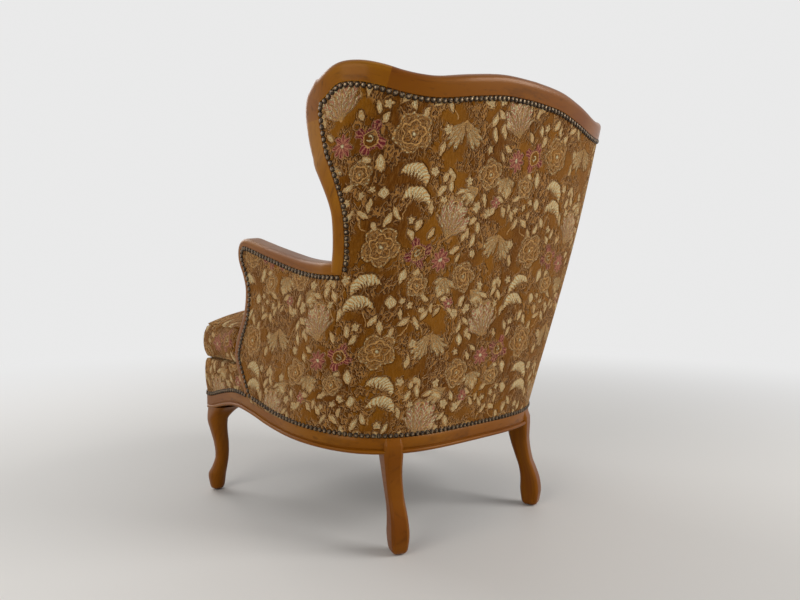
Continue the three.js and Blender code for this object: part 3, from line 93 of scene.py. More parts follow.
WOOD_THICKNESS, WOOD_PROUD, WOOD_INNER_DROP, COVER_RABBET, WOOD_EDGE_RADIUS = 44, 2, 10, 6, 12
CREST_SHOW_HEIGHT, CORNER_SHOW_HEIGHT, WING_SHOW_HEIGHT, ARM_SHOW_HEIGHT = 38, 49, 30, 24
ARM_KNUCKLE_HEIGHT, STUMP_NECK_WIDTH, STUMP_SHOW_WIDTH = 17, 13, 20
# Between a cover's edge and the wood, and how round the wood's lip over the cover is
COVER_CLEAR, WOOD_LIP_RADIUS = 0.3, 1.6

CREST_MIDDLE_UP, CREST_DIP, CREST_SHOULDER_DROP, WING_CORNER_UP = 903, 29, 7, 860
CREST_DIPS = [(0, 0), (0.13, 0.1), (0.25, 0.46), (0.4, 0.93), (0.5, 1), (0.6, 0.84), (0.7, 0.5), (0.8, 0.24)]
WING_SHOULDER_ALONG, WING_TURN_ALONG, WING_TURN_DROP = 0.89, 0.97, 18
WING_TOP_AHEAD, WING_WAIST_AHEAD, WING_FOOT_AHEAD = 24, -6, 16
WING_BULGE_UP, WING_WAIST_UP = 822, 676
ARM_LINE_REAR_UP, ARM_LINE_FRONT_UP, ARM_LINE_FRONT_AHEAD = 559, 624, 358
ARM_WAVE = [
    (0, 0), (0.12, 0.02), (0.24, 0.07), (0.36, 0.16), (0.48, 0.3), (0.61, 0.47), (0.75, 0.66),
    (0.89, 0.86), (1, 1),
]
STUMP_TOP, STUMP_WAIST, STUMP_BELLY, STUMP_FOOT = (382, 596), (362, 522), (438, 366), (395, 262)

DECK_TOP_UP = 343
BACK_PAD_DEPTH, BACK_PAD_LUMBAR, CORNER_PAD_DEPTH = 88, 14, 62
WING_PAD_DEPTH, ARM_PAD_DEPTH, PAD_EDGE_DEPTH = 54, 58, 54
BACK_LUMBAR_SHARE, BACK_PAD_END_ALONG = 0.3, 0.53
BORDER_BULGE = 5
CUSHION_BORDER_HEIGHT, CUSHION_SEAM_SET_IN, CUSHION_CROWN = 82, 9, 56
CUSHION_FRONT_OVERHANG, CUSHION_EAR_BEHIND_AHEAD = 22, 462
CUSHION_CORNER_RADIUS, CUSHION_NOTCH_RADIUS, CUSHION_DRAW_IN = 30, 14, 4
CUSHION_SIDE_CLEAR, CUSHION_FOOT_RISE = 5, 3
SEAT_GAP = 0.5

# What only the dressed pieces have: covers, the pads' rolled edges and swelling, and the unevenness
# of their stuffing
COVER_DEPTH = 3.6
PAD_ROLL, PAD_BACK_DEPTH, PAD_SWELL = 13.0, 36.0, 5.0
PAD_EDGE_CROWDING, PAD_PINNED, PAD_SWELL_FADE = 0.7, 2.0, 80
STUFFING_SCALE, STUFFING_DEPTH, STUFFING_FADE = 90.0, 2.2, 60
DECK_CLEAR, DECK_EAR_CLEAR, DECK_ROLL, DECK_HOLLOWS = 8, 6, 5, 0.8
BURLAP_THICKNESS, DUST_THICKNESS, DUST_LIFT, DUST_SAG = 0.9, 0.8, 2.8, 4.0
CUSHION_SIDES, CUSHION_SWELL, SEAM_DEPTH, SEAM_HALF = 300, 4, 6.5, 3.0
SWELL_PRESSURE, SWELL_FRAMES = 4, 20

NAIL_RADIUS, NAIL_HEIGHT, NAIL_PITCH, NAIL_LINE_SET_IN = 5.3, 3.4, 11.6, 4.8
NAIL_LIFT, NAIL_FOOT = 0.6, -1.0

# Curves and surfaces


def mix(a, b, share):
    return a + (b - a) * share


def smoothstep(x, low, high):
    t = np.clip((x - low) / (high - low), 0, 1)
    return t * t * (3 - 2 * t)


def spot(across, ahead, up):
    return np.stack(np.broadcast_arrays(np.asarray(across, float), -np.asarray(ahead, float), up), axis=-1)


def unit(v):
    return v / np.maximum(np.linalg.norm(v, axis=-1, keepdims=True), 1e-12)


def run_along(points):
    """How far along a line each of its points lies."""
    return np.concatenate([[0], np.cumsum(np.linalg.norm(np.diff(points, axis=0), axis=1))])


def at_height(points, up):
    return np.concatenate([points[:, :2], np.full((len(points), 1), up)], axis=1)


def by_side(shares):
    """Factors that mirror a place whose share is below 0."""
    ones = np.ones_like(shares)
    return np.stack([np.where(shares < 0, -1, 1), ones, ones], axis=-1)


def bisect(low, high, is_below):
    for _ in range(30):
        middle = (low + high) / 2
        if is_below(middle):
            low = middle
        else:
            high = middle
    return (low + high) / 2


def read_table(table, share):
    """A smooth value through a table of (share, value) pairs."""
    x, y = np.array(table, float).T
    share = np.asarray(share, float)
    i = np.clip(np.searchsorted(x, share), 1, len(x) - 1)
    before, after = np.maximum(i - 2, 0), np.minimum(i + 1, len(x) - 1)
    span = x[i] - x[i - 1]
    slope0 = (y[i] - y[before]) / (x[i] - x[before]) * span
    slope1 = (y[after] - y[i - 1]) / (x[after] - x[i - 1]) * span
    u = np.clip((share - x[i - 1]) / span, 0, 1)
    return (
        (2 * u**3 - 3 * u**2 + 1) * y[i - 1]
        + (u**3 - 2 * u**2 + u) * slope0
        + (3 * u**2 - 2 * u**3) * y[i]
        + (u**3 - u**2) * slope1
    )


def spline(points):
    """A curve through points, by share of its spans."""
    p = np.array(points, float)
    last = len(p) - 1

    def at(share):
        place = np.clip(np.asarray(share, float), 0, 1) * last
        i = np.minimum(place.astype(int), last - 1)
        t = (place - i)[..., None]
        a, b, c, d = p[np.maximum(i - 1, 0)], p[i], p[i + 1], p[np.minimum(i + 2, last)]
        v0, v1 = (c - a) / 2, (d - b) / 2
        return (2 * b - 2 * c + v0 + v1) * t**3 + (3 * c - 3 * b - 2 * v0 - v1) * t**2 + v0 * t + b

    return at


def bezier(points, t):
    a, b, c, d = (np.asarray(p, float) for p in points)
    t = np.asarray(t, float)[..., None]
    return a * (1 - t) ** 3 + 3 * b * t * (1 - t) ** 2 + 3 * c * t**2 * (1 - t) + d * t**3


def barrel_plan(up):
    a, b, c = SEAT_LEVEL_UP, ARM_LEVEL_UP, CREST_LEVEL_UP

    def level(seat, arm, crest):
        return (
            seat * (up - b) * (up - c) / ((a - b) * (a - c))
            + arm * (up - a) * (up - c) / ((b - a) * (b - c))
            + crest * (up - a) * (up - b) / ((c - a) * (c - b))
        )

    behind = level(SEAT_PLAN[0], ARM_PLAN[0], CREST_PLAN[0])
    flat = level(SEAT_PLAN[1], ARM_PLAN[1], CREST_PLAN[1])
    rest = [
        np.stack([level(s[0], m[0], t[0]), level(s[1], m[1], t[1])], axis=-1)
        for s, m, t in zip(SEAT_PLAN[2:], ARM_PLAN[2:], CREST_PLAN[2:])
    ]
    return [np.stack([np.zeros_like(flat), behind], axis=-1), np.stack([flat, behind], axis=-1), *rest]


def barrel(along, up):
    along, up = (np.asarray(v, float) for v in np.broadcast_arrays(along, up))
    p0, p1, p2, p3, p4 = barrel_plan(up)
    share = np.abs(along)
    round_part = bezier((p0, p1, p2, p3), np.minimum(share, 1))
    straight_part = mix(p3, p4, (share - 1)[..., None])
    place = np.where((share > 1)[..., None], straight_part, round_part)
    return spot(np.where(along < 0, -place[..., 0], place[..., 0]), place[..., 1], up)


def barrel_normal(along, up):
    small = 0.004
    tall = small * CREST_LEVEL_UP
    sideways = barrel(along + small, up) - barrel(along - small, up)
    upwards = barrel(along, up + tall) - barrel(along, up - tall)
    return -unit(np.cross(sideways, upwards))


def on_barrel_at(place, depth):
    along, up = place[..., 0], place[..., 1]
    return barrel(along, up) - barrel_normal(along, up) * np.asarray(depth, float)[..., None]


def along_for(ahead, up):
    """The share along the barrel that lies so far ahead at a height."""
    *_, p3, p4 = barrel_plan(np.float64(up))
    if ahead >= p3[1]:
        return 1 + (ahead - p3[1]) / (p4[1] - p3[1])
    return bisect(0.4, 1, lambda share: -barrel(share, up)[1] < ahead)


def on_barrel(ahead, up):
    return (along_for(ahead, up), up)


crest_points = [(along, CREST_MIDDLE_UP - CREST_DIP * dip) for along, dip in CREST_DIPS]
shoulder_up = CREST_MIDDLE_UP - CREST_SHOULDER_DROP
rim_points = [
    *crest_points,
    (WING_SHOULDER_ALONG, shoulder_up),
    (WING_TURN_ALONG, shoulder_up - WING_TURN_DROP),
    (along_for(WING_TOP_AHEAD, WING_CORNER_UP), WING_CORNER_UP),
    on_barrel(WING_TOP_AHEAD, WING_BULGE_UP),
    on_barrel(mix(WING_TOP_AHEAD, WING_WAIST_AHEAD, 0.55), mix(WING_BULGE_UP, WING_WAIST_UP, 0.5)),
    on_barrel(WING_WAIST_AHEAD, WING_WAIST_UP),
    on_barrel(mix(WING_WAIST_AHEAD, WING_FOOT_AHEAD, 0.35), mix(WING_WAIST_UP, ARM_LINE_REAR_UP, 0.6)),
    on_barrel(WING_FOOT_AHEAD, ARM_LINE_REAR_UP),
]
rim_curve = spline(rim_points)
RIM_SPANS = len(rim_points) - 1
RIM_CORNER = (len(crest_points) + 0.5) / RIM_SPANS
RIM_JOINT = (len(crest_points) - 2.4) / RIM_SPANS
RIM_POST = (len(crest_points) + 2.5) / RIM_SPANS
RIM_SWELL = (len(crest_points) / RIM_SPANS, (len(crest_points) + 2.2) / RIM_SPANS)
RIM_FALL = ((len(crest_points) + 3) / RIM_SPANS, (len(crest_points) + 5.2) / RIM_SPANS)
RIM_END = 0.999


def rim_line(share):
    place = rim_curve(np.abs(share))
    place[..., 0] = np.where(np.asarray(share) < 0, -place[..., 0], place[..., 0])
    return place


def arm_up(ahead):
    share = (ahead - WING_FOOT_AHEAD) / (ARM_LINE_FRONT_AHEAD - WING_FOOT_AHEAD)
    return mix(ARM_LINE_REAR_UP, ARM_LINE_FRONT_UP, float(read_table(ARM_WAVE, share)))


def between(a, b, ahead_share, up_share):
    return on_barrel(mix(a[0], b[0], ahead_share), mix(a[1], b[1], up_share))


arm_aheads = np.linspace(WING_FOOT_AHEAD, ARM_LINE_FRONT_AHEAD, 9)
arm_points = [on_barrel(ahead, arm_up(ahead)) for ahead in arm_aheads]
side_points = [
    *arm_points,
    between((ARM_LINE_FRONT_AHEAD, ARM_LINE_FRONT_UP), STUMP_TOP, 0.72, 0.25),
    on_barrel(*STUMP_TOP),
    between(STUMP_TOP, STUMP_WAIST, 0.72, 0.5),
    on_barrel(*STUMP_WAIST),
    between(STUMP_WAIST, STUMP_BELLY, 0.22, 0.35),
    between(STUMP_WAIST, STUMP_BELLY, 0.72, 0.7),
    on_barrel(*STUMP_BELLY),
    between(STUMP_BELLY, STUMP_FOOT, 0.5, 0.55),
    on_barrel(*STUMP_FOOT),
]
side_line = spline(side_points)
SIDE_SPANS = len(side_points) - 1
SIDE_CORNER = (len(arm_points) - 0.3) / SIDE_SPANS
SIDE_JOINT = (len(arm_points) + 1.2) / SIDE_SPANS
SIDE_END = 0.968
BELLY_SHARE = (SIDE_SPANS - 2) / SIDE_SPANS


class Frames:
    """Places along a line, with the way out of the surface and the way past the line's edge."""

    def __init__(self, at, out, edge, share):
        self.at, self.out, self.edge, self.share = at, out, edge, share

    def place(self, out, edge):
        """Points at (frame, outline) for an outline of (frame, outline) distances."""
        return self.at[:, None] + self.out[:, None] * out[..., None] + self.edge[:, None] * edge[..., None]

    def spaced(self, pitch):
        """The frames again, evenly spaced by about pitch."""
        run = run_along(self.at)
        count = max(1, round(run[-1] / pitch))
        wanted = (np.arange(count) + 0.5) * run[-1] / count

        def pick(values):
            return np.stack([np.interp(wanted, run, column) for column in values.T], axis=-1)

        share = np.interp(wanted, run, self.share)
        return Frames(pick(self.at), unit(pick(self.out)), unit(pick(self.edge)), share)


def frames_along(line, shares):
    small = 0.002

    def at(share):
        place = line(share)
        return barrel(place[..., 0], place[..., 1])

    tangent = unit(at(shares + small) - at(shares - small))
    here = line(shares)
    out = barrel_normal(here[..., 0], here[..., 1])
    out = unit(out - tangent * np.sum(out * tangent, axis=-1, keepdims=True))
    return Frames(at(shares), out, np.cross(tangent, out), shares)


def rim_frames(shares):
    twin = frames_along(rim_line, np.abs(shares))
    flip = by_side(shares)
    return Frames(twin.at * flip, twin.out * flip, twin.edge * flip, shares)


# The seat rails' plan, from the middle of the back to the middle of the front

SEAT_FRONT_ACROSS, SEAT_FRONT_SIDE_AHEAD = SEAT_PLAN[4]
SEAT_FRONT_AHEAD = SEAT_FRONT_SIDE_AHEAD + FRONT_CORNER_RADIUS


def seat_path():
    fine = np.linspace(0, 1, 2001)
    behind, flat = SEAT_PLAN[0], SEAT_PLAN[1]
    start = (SEAT_FRONT_ACROSS, SEAT_FRONT_SIDE_AHEAD)
    end = (SEAT_FRONT_ACROSS - FRONT_CORNER_RADIUS, SEAT_FRONT_AHEAD)
    corner = np.array([SEAT_FRONT_ACROSS, SEAT_FRONT_AHEAD], float)
    turn = fine[:, None]
    parts = [
        bezier(((0, behind), (flat, behind), SEAT_PLAN[2], SEAT_PLAN[3]), fine),
        mix(np.array(SEAT_PLAN[3], float), np.array(start, float), fine[:, None]),
        np.array(start) * (1 - turn) ** 2 + 2 * corner * turn * (1 - turn) + np.array(end) * turn**2,
        bezier(
            (
                end,
                (end[0] - FRONT_BOW_FLAT, SEAT_FRONT_AHEAD),
                (FRONT_BOW_FLAT, SEAT_FRONT_AHEAD + FRONT_BOW),
                (0, SEAT_FRONT_AHEAD + FRONT_BOW),
            ),
            fine,
        ),
    ]
    ends, points = [], np.zeros((0, 2))
    for part in parts:
        points = np.concatenate([points, part if not len(points) else part[1:]])
        ends.append(len(points) - 1)
    run = run_along(points)
    return points, run, [run[i] / run[-1] for i in ends]


seat_points, seat_run, seat_ends = seat_path()
CORNER_IN, CORNER_OUT = seat_ends[1], seat_ends[2]


def seat_place(share):
    run = np.clip(np.abs(share), 0, 1) * seat_run[-1]
    return np.stack([np.interp(run, seat_run, seat_points[:, i]) for i in (0, 1)], axis=-1)


def seat_edge_up(share):
    return RAIL_LOW_UP + RAIL_RISE * read_table(RAIL_WAVE, np.abs(share))


def seat_frames(shares):
    shares = np.asarray(shares, float)
    reach, side, small = np.clip(np.abs(shares), 0, 1), np.where(shares < 0, -1.0, 1.0), 0.0005
    place = seat_place(reach)
    heading = unit(seat_place(reach + small) - seat_place(reach - small))
    heading = np.where((reach < small)[:, None] | (reach > 1 - small)[:, None], [1.0, 0.0], heading)
    heading = np.where((reach > 1 - small)[:, None], [-1.0, 0.0], heading)
    out = np.stack([side * heading[:, 1], heading[:, 0], np.zeros_like(side)], axis=-1)
    up = np.broadcast_to([0.0, 0.0, 1.0], out.shape)
    return Frames(spot(side * place[:, 0], place[:, 1], seat_edge_up(shares)), out, up, shares)


def seat_share_at(ahead):
    return bisect(0.2, CORNER_IN, lambda share: seat_place(share)[1] < ahead)


REAR_LEG_SHARE = bisect(0, 0.3, lambda share: seat_place(share)[0] < REAR_BLOCK_ACROSS)


def along_of_seat(share):
    goal = seat_place(share).sum()

    def is_below(along):
        place = barrel(along, SEAT_LEVEL_UP)
        return place[0] - place[1] < goal

    return bisect(0, 2, is_below)


def seat_share_of(along):
    place = barrel(along, SEAT_LEVEL_UP)
    goal = place[0] - place[1]
    return bisect(0, CORNER_IN, lambda share: seat_place(share).sum() < goal)


foot_shares = np.linspace(0, CORNER_IN, 120)
foot_alongs = np.array([along_of_seat(share) for share in foot_shares])


def cover_foot_frames(shares):
    """Where the outside cover meets the rails, on the barrel's own slope."""
    along = np.interp(np.abs(shares), foot_shares, foot_alongs)
    up = seat_edge_up(shares)
    at, out = barrel(along, up), barrel_normal(along, up)
    edge = unit(np.array([0, 0, 1.0]) - out * out[:, 2:])
    flip = by_side(shares)
    return Frames(at * flip, out * flip, edge * flip, shares)


# Meshes


def to_frame(points):
    """Millimetres from the line between the rear feet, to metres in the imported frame."""
    return np.asarray(points, float) * MM + np.array([0, SHIFT_Y, 0])


def set_places(mesh, name, places, domain="POINT"):
    """Stores places on a piece's surface, in metres, for its material to read."""
    layer = mesh.attributes.new(name, "FLOAT_VECTOR", domain)
    layer.data.foreach_set("vector", np.asarray(places, np.float32).ravel())


def new_object(name, points, faces, material, node, slot, body="chair", sharp=40, cloth=None, grain=None):
    """A piece that stands for a node, rides on its body and may keep places for its material."""
    mesh = bpy.data.meshes.new(name)
    mesh.from_pydata(to_frame(points).tolist(), [], [list(map(int, face)) for face in faces])
    if cloth is not None:
        set_places(mesh, "cloth", cloth, "POINT" if len(cloth) == len(points) else "CORNER")
    if grain is not None:
        set_places(mesh, "grain", grain)
    tidy = bmesh.new()
    tidy.from_mesh(mesh)
    bmesh.ops.recalc_face_normals(tidy, faces=tidy.faces)
    tidy.to_mesh(mesh)
    tidy.free()
    mesh.shade_smooth()
    if sharp:
        mesh.set_sharp_from_angle(angle=math.radians(sharp))
    obj = bpy.data.objects.new(name, mesh)
    bpy.context.scene.collection.objects.link(obj)
    mesh.materials.append(material)
    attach(obj, body)
    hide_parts(node)
    return obj


def loft(grid):
    """Points and faces of a closed solid through rings, from an array (rings, sides, 3)."""
    rings, sides, _ = grid.shape
    j = np.arange(sides)
    faces = []
    for i in range(rings - 1):
        low, high = i * sides, (i + 1) * sides
        faces += list(zip(low + j, low + (j + 1) % sides, high + (j + 1) % sides, high + j))
    faces += [list(j[::-1]), list((rings - 1) * sides + j)]
    return grid.reshape(-1, 3), faces


def joined(*parts):
    """Several (points, faces) as one."""
    points, faces, start = [], [], 0
    for part_points, part_faces in parts:
        points.append(part_points)
        faces += [[int(i) + start for i in face] for face in part_faces]
        start += len(part_points)
    return np.concatenate(points), faces


def mirror(points):
    return np.asarray(points) * [-1, 1, 1]


def add(name, part, material, **words):
    return new_object(name, *part, material, **words)


def add_pair(name, part, material, cloth=None, **words):
    """A piece on the sitter's left and its mirror image on the right, each for the node of its name."""
    points, faces = part
    made = []
    for side, flip in (("left", [1, 1, 1]), ("right", [-1, 1, 1])):
        node = f"{name}_{side}"
        laid = None if cloth is None else cloth * flip
        made.append(
            new_object(f"{node}_look", points * flip, faces, material, node=node, cloth=laid, **words)
        )
    return made


def grain_of(grid, tone=0.0):
    """For a loft's grid: how far along and round it each point lies, in metres, and a tone from 0 to 1."""
    around = np.cumsum(np.linalg.norm(np.roll(grid, -1, axis=1) - grid, axis=2), axis=1) * MM
    along = np.broadcast_to(run_along(grid.mean(axis=1))[:, None] * MM, around.shape)
    return np.stack([along, around, np.full_like(around, tone)], axis=-1).reshape(-1, 3)


def swell(obj, most, pinned):
    """Inflates a stuffed piece by cloth simulation; no point moves more than so many millimetres."""
    mesh, total = obj.data, len(obj.data.vertices)
    before = np.empty(total * 3)
    mesh.vertices.foreach_get("co", before)
    cloth = obj.modifiers.new("cloth", "CLOTH")
    cloth.settings.use_pressure = True
    cloth.settings.uniform_pressure_force = SWELL_PRESSURE
    cloth.settings.effector_weights.gravity = 0
    obj.vertex_groups.new(name="pinned").add([int(i) for i in pinned], 1, "REPLACE")
    cloth.settings.vertex_group_mass = "pinned"
    for step in range(1, SWELL_FRAMES + 1):
        bpy.context.scene.frame_set(step)
    shown = obj.evaluated_get(bpy.context.evaluated_depsgraph_get()).to_mesh()
    after = np.empty(total * 3)
    shown.vertices.foreach_get("co", after)
    obj.modifiers.remove(cloth)
    bpy.context.scene.frame_set(1)
    move = (after - before).reshape(-1, 3)
    length = np.linalg.norm(move, axis=1, keepdims=True)
    move *= np.minimum(1, most * MM / np.maximum(length, 1e-9))
    mesh.vertices.foreach_set("co", before + move.ravel())
    mesh.update()


def uneven(points, scale, depth):
    """How far each point of worn, soft stuffing stands out, in millimetres, by a fixed noise."""
    heights = [noise_at.fractal(Vector(p) / scale, 1.0, 2.0, 3) for p in points.reshape(-1, 3)]
    return np.array(heights).reshape(points.shape[:-1]) * depth


def eased(corners, radii, count):
    """A closed outline with its corners rounded; corners is an array (..., corner, 2)."""
    points = []
    total = corners.shape[-2]
    for i in range(total):
        here = corners[..., i, :]
        radius = np.asarray(radii[i], float)[..., None]
        if not np.any(radius > 0):
            points.append(here)
            continue
        before = unit(corners[..., i - 1, :] - here)
        after = unit(corners[..., (i + 1) % total, :] - here)
        for s in np.linspace(0, 1, count):
            points.append(here + before * radius * (1 - s) ** 2 + after * radius * s**2)
    return np.stack(points, axis=-2)


def swept(outline, frames):
    outline = np.broadcast_to(outline, (len(frames.at), *outline.shape[-2:]))
    return frames.place(outline[..., 0], outline[..., 1])


# Show-wood round the covers


def wood_outline(heights):
    heights = np.asarray(heights, float)
    inner = WOOD_PROUD - WOOD_THICKNESS
    soft = np.minimum(WOOD_EDGE_RADIUS * 1.25, heights * 0.62)
    flat = np.zeros_like(heights)

    def corner(out, edge):
        return np.stack(np.broadcast_arrays(flat + out, flat + edge), axis=-1)

    corners = np.stack(
        [
            corner(-COVER_RABBET, -WOOD_INNER_DROP),
            corner(-COVER_RABBET, COVER_CLEAR),
            corner(WOOD_PROUD, COVER_CLEAR),
            corner(WOOD_PROUD, heights),
            corner(inner, heights),
            corner(inner, -WOOD_INNER_DROP),
        ],
        axis=-2,
    )
    return eased(corners, [flat, flat, flat + WOOD_LIP_RADIUS, soft, soft, flat], 9)


def rim_height(share):
    top = mix(CREST_SHOW_HEIGHT, CORNER_SHOW_HEIGHT, smoothstep(np.abs(share), *RIM_SWELL))
    return mix(top, WING_SHOW_HEIGHT, smoothstep(np.abs(share), *RIM_FALL))


def side_height(share):
    arm = mix(ARM_SHOW_HEIGHT, ARM_KNUCKLE_HEIGHT, smoothstep(share, 0, SIDE_CORNER))
    neck = mix(arm, STUMP_NECK_WIDTH, smoothstep(share, SIDE_CORNER, SIDE_JOINT))
    return mix(neck, STUMP_SHOW_WIDTH, smoothstep(share, SIDE_JOINT, BELLY_SHARE))


def rim_wood(low, high, count):
    shares = np.linspace(low, high, count)
    return swept(wood_outline(rim_height(shares)), rim_frames(shares))


def side_wood(low, high, count):
    shares = np.linspace(low, high, count)
    return swept(wood_outline(side_height(shares)), frames_along(side_line, shares))


def rail_outline(rise):
    """The rail's section under a cover edge: a bead along its foot with a groove over it."""
    foot, bead = -RAIL_SHOW_HEIGHT, RAIL_BEAD_RADIUS
    turn = np.linspace(0, math.pi, 9)
    rounded = [(bead * math.sin(a), foot + bead - bead * math.cos(a)) for a in turn]
    return np.array([
        (-RAIL_THICKNESS, foot), *rounded,
        (-RAIL_GROOVE_DEPTH, foot + bead * 2.15), (-RAIL_GROOVE_DEPTH, foot + bead * 2.45),
        (-0.4, foot + bead * 2.75), (0, foot + bead * 3.1), (0, -1.2), (-1, 0),
        (-RAIL_RABBET, 0), (-RAIL_RABBET, rise), (-RAIL_THICKNESS, rise),
    ])


def rounded_ring(centre, half_side, half_ahead, squareness, sides=48):
    turn = np.arange(sides) / sides * 2 * math.pi

    def reach(value):
        return np.sign(value) * np.abs(value) ** (2 / squareness)

    return centre + spot(half_side * reach(np.cos(turn)), half_ahead * reach(np.sin(turn)), 0)


def through(stations, count):
    """Rows of numbers smoothly joined, each row's first number rising."""
    rows = np.array(stations, float)
    ups = np.linspace(rows[0, 0], rows[-1, 0], count)
    columns = [read_table(np.stack([rows[:, 0], column], axis=-1), ups) for column in rows[:, 1:].T]
    return np.stack([ups, *columns], axis=-1).tolist()


corner_up = float(seat_edge_up(CORNER_IN))
HALF_BLOCK = FRONT_BLOCK_WIDTH / 2
BLOCK_ACROSS, BLOCK_AHEAD = SEAT_FRONT_ACROSS - HALF_BLOCK, SEAT_FRONT_AHEAD - HALF_BLOCK
SHOULDER_RISE = 6


def front_leg():
    toe, ankle = FRONT_TOE_WIDTH / 2, FRONT_ANKLE_WIDTH / 2

    def station(up, inward, half, squareness, to_block=0):
        inward *= math.sqrt(0.5)
        return (
            up,
            mix(FRONT_FOOT_ACROSS - inward, BLOCK_ACROSS, to_block),
            mix(FRONT_FOOT_AHEAD - inward, BLOCK_AHEAD, to_block),
            half,
            squareness,
        )

    def above_toe(rise, inward, narrowing):
        up = mix(FRONT_TOE_UP, FRONT_ANKLE_UP, rise)
        return station(up, FRONT_ANKLE_SET_IN * inward, mix(toe, ankle, narrowing), 2.3)

    def above_ankle(rise, inward, widening, to_block):
        up = mix(FRONT_ANKLE_UP, FRONT_KNEE_UP, rise)
        return station(up, FRONT_ANKLE_SET_IN * inward, mix(ankle, HALF_BLOCK, widening), 2.7, to_block)

    shoulder = corner_up - RAIL_SHOW_HEIGHT + SHOULDER_RISE

    def flared(up, share):
        half = FRONT_KNEE_FLARE * share / 2
        return (up, BLOCK_ACROSS - half, BLOCK_AHEAD - half, HALF_BLOCK + half, 4)

    lower = [
        station(GLIDE_THICKNESS, 0, toe * 0.5, 2),
        station(FRONT_TOE_UP * 0.1, 0, toe * 0.66, 2.1),
        station(FRONT_TOE_UP * 0.3, 0, toe * 0.84, 2.1),
        station(FRONT_TOE_UP, 0, toe, 2.3),
        above_toe(0.4, 0.5, 0.55),
        above_toe(1, 1, 1),
        above_ankle(0.35, 0.88, 0.12, 0),
        above_ankle(0.65, 0.45, 0.36, 0),
        above_ankle(0.88, 0.08, 0.66, 0.2),
        above_ankle(1, 0, 0.86, 0.45),
        flared(mix(FRONT_KNEE_UP, shoulder, 0.6), 0.35),
        flared(shoulder, 1),
    ]
    rows = through(lower, 90)
    rows += [station(shoulder + 0.3, 0, HALF_BLOCK, 5, 1), station(corner_up, 0, HALF_BLOCK, 5, 1)]
    return np.array([
        rounded_ring(spot(across, ahead, up), half, half, square) for up, across, ahead, half, square in rows
    ])


def rear_leg():
    rail = seat_frames([REAR_LEG_SHARE]).at[0]
    out = np.array([math.sin(REAR_LEG_TURN), math.cos(REAR_LEG_TURN), 0])
    side = np.cross([0, 0, 1.0], out)
    block = rail + out * (REAR_BLOCK_PROUD - REAR_BLOCK_DEPTH / 2)
    foot = spot(REAR_FOOT_ACROSS, 0, 0)
    edge_up = rail[2]

    def ring(up, centre, width, depth):
        """A chamfered rectangle, its chamfers' corners a little eased."""
        s, o = width / 2, depth / 2
        bevel = min(s, o) * 0.3
        corners = np.array([
            (s, o - bevel), (s - bevel, o), (-s + bevel, o), (-s, o - bevel),
            (-s, -o + bevel), (-s + bevel, -o), (s - bevel, -o), (s, -o + bevel),
        ])
        outline = eased(corners, [np.float64(bevel * 0.35)] * 8, 4)
        centre = np.array([centre[0], centre[1], up])
        return centre + side * outline[:, :1] + out * outline[:, 1:]

    def station(up, to_block, width, depth):
        return (up, *mix(foot, block, to_block)[:2], width, depth)

    def narrowed(rise, to_block, share):
        return station(
            mix(REAR_FOOT_SWELL_UP, REAR_ANKLE_UP, rise),
            to_block,
            mix(REAR_FOOT_WIDTH, REAR_ANKLE_WIDTH, share),
            mix(REAR_FOOT_DEPTH, REAR_ANKLE_DEPTH, share),
        )

    lower = [
        station(GLIDE_THICKNESS, 0, REAR_FOOT_WIDTH * 0.6, REAR_FOOT_DEPTH * 0.6),
        station(REAR_FOOT_SWELL_UP * 0.16, 0, REAR_FOOT_WIDTH * 0.77, REAR_FOOT_DEPTH * 0.76),
        station(REAR_FOOT_SWELL_UP * 0.4, 0, REAR_FOOT_WIDTH * 0.9, REAR_FOOT_DEPTH * 0.88),
        station(REAR_FOOT_SWELL_UP, 0, REAR_FOOT_WIDTH, REAR_FOOT_DEPTH),
        narrowed(0.4, 0.07, 0.4),
        narrowed(0.75, 0.28, 0.9),
        narrowed(1, 0.5, 1),
        station(
            mix(REAR_ANKLE_UP, REAR_BLOCK_FOOT_UP, 0.5), 0.85,
            mix(REAR_ANKLE_WIDTH, REAR_BLOCK_WIDTH, 0.2), mix(REAR_ANKLE_DEPTH, REAR_BLOCK_DEPTH, 0.4),
        ),
        station(REAR_BLOCK_FOOT_UP, 1, REAR_BLOCK_WIDTH, REAR_BLOCK_DEPTH),
    ]
    rows = through(lower, 70)
    shallow = REAR_BLOCK_DEPTH - REAR_BLOCK_PROUD
    flush = block - out * REAR_BLOCK_PROUD / 2
    bevel_foot = edge_up - REAR_BLOCK_BEVEL
    rows.append((bevel_foot - 1.5, *block[:2], REAR_BLOCK_WIDTH, REAR_BLOCK_DEPTH))
    rows.append((bevel_foot + 0.5, *(block - out * 0.4)[:2], REAR_BLOCK_WIDTH, REAR_BLOCK_DEPTH - 0.8))
    rows.append((edge_up - 1, *flush[:2], REAR_BLOCK_WIDTH, shallow))
    rows.append((edge_up, *(flush - out * 1.5)[:2], REAR_BLOCK_WIDTH - 2, shallow - 3))
    return np.array([ring(up, (x, y), width, depth) for up, x, y, width, depth in rows])


# Covers: places inside four edges, each edge a function of the share along it; u goes to the side
# and v up


def inside_edges(low, high, left, right, u, v):
    u, v = u[..., None], v[..., None]
    flat_u, flat_v = u[..., 0], v[..., 0]
    zero = np.zeros(1)
    corners = [low(zero)[0], low(zero + 1)[0], high(zero)[0], high(zero + 1)[0]]
    return (
        low(flat_u) * (1 - v) + high(flat_u) * v + left(flat_v) * (1 - u) + right(flat_v) * u
        - corners[0] * (1 - u) * (1 - v) - corners[1] * u * (1 - v)
        - corners[2] * (1 - u) * v - corners[3] * u * v
    )


def pair_up(a, b):
    return np.stack(np.broadcast_arrays(a, b), axis=-1).astype(float)


wing_foot, stump_foot = side_line(0.0), side_line(1.0)
place_shares = np.linspace(0, 2, 161)
place_seats = np.array([seat_share_of(along) for along in place_shares])


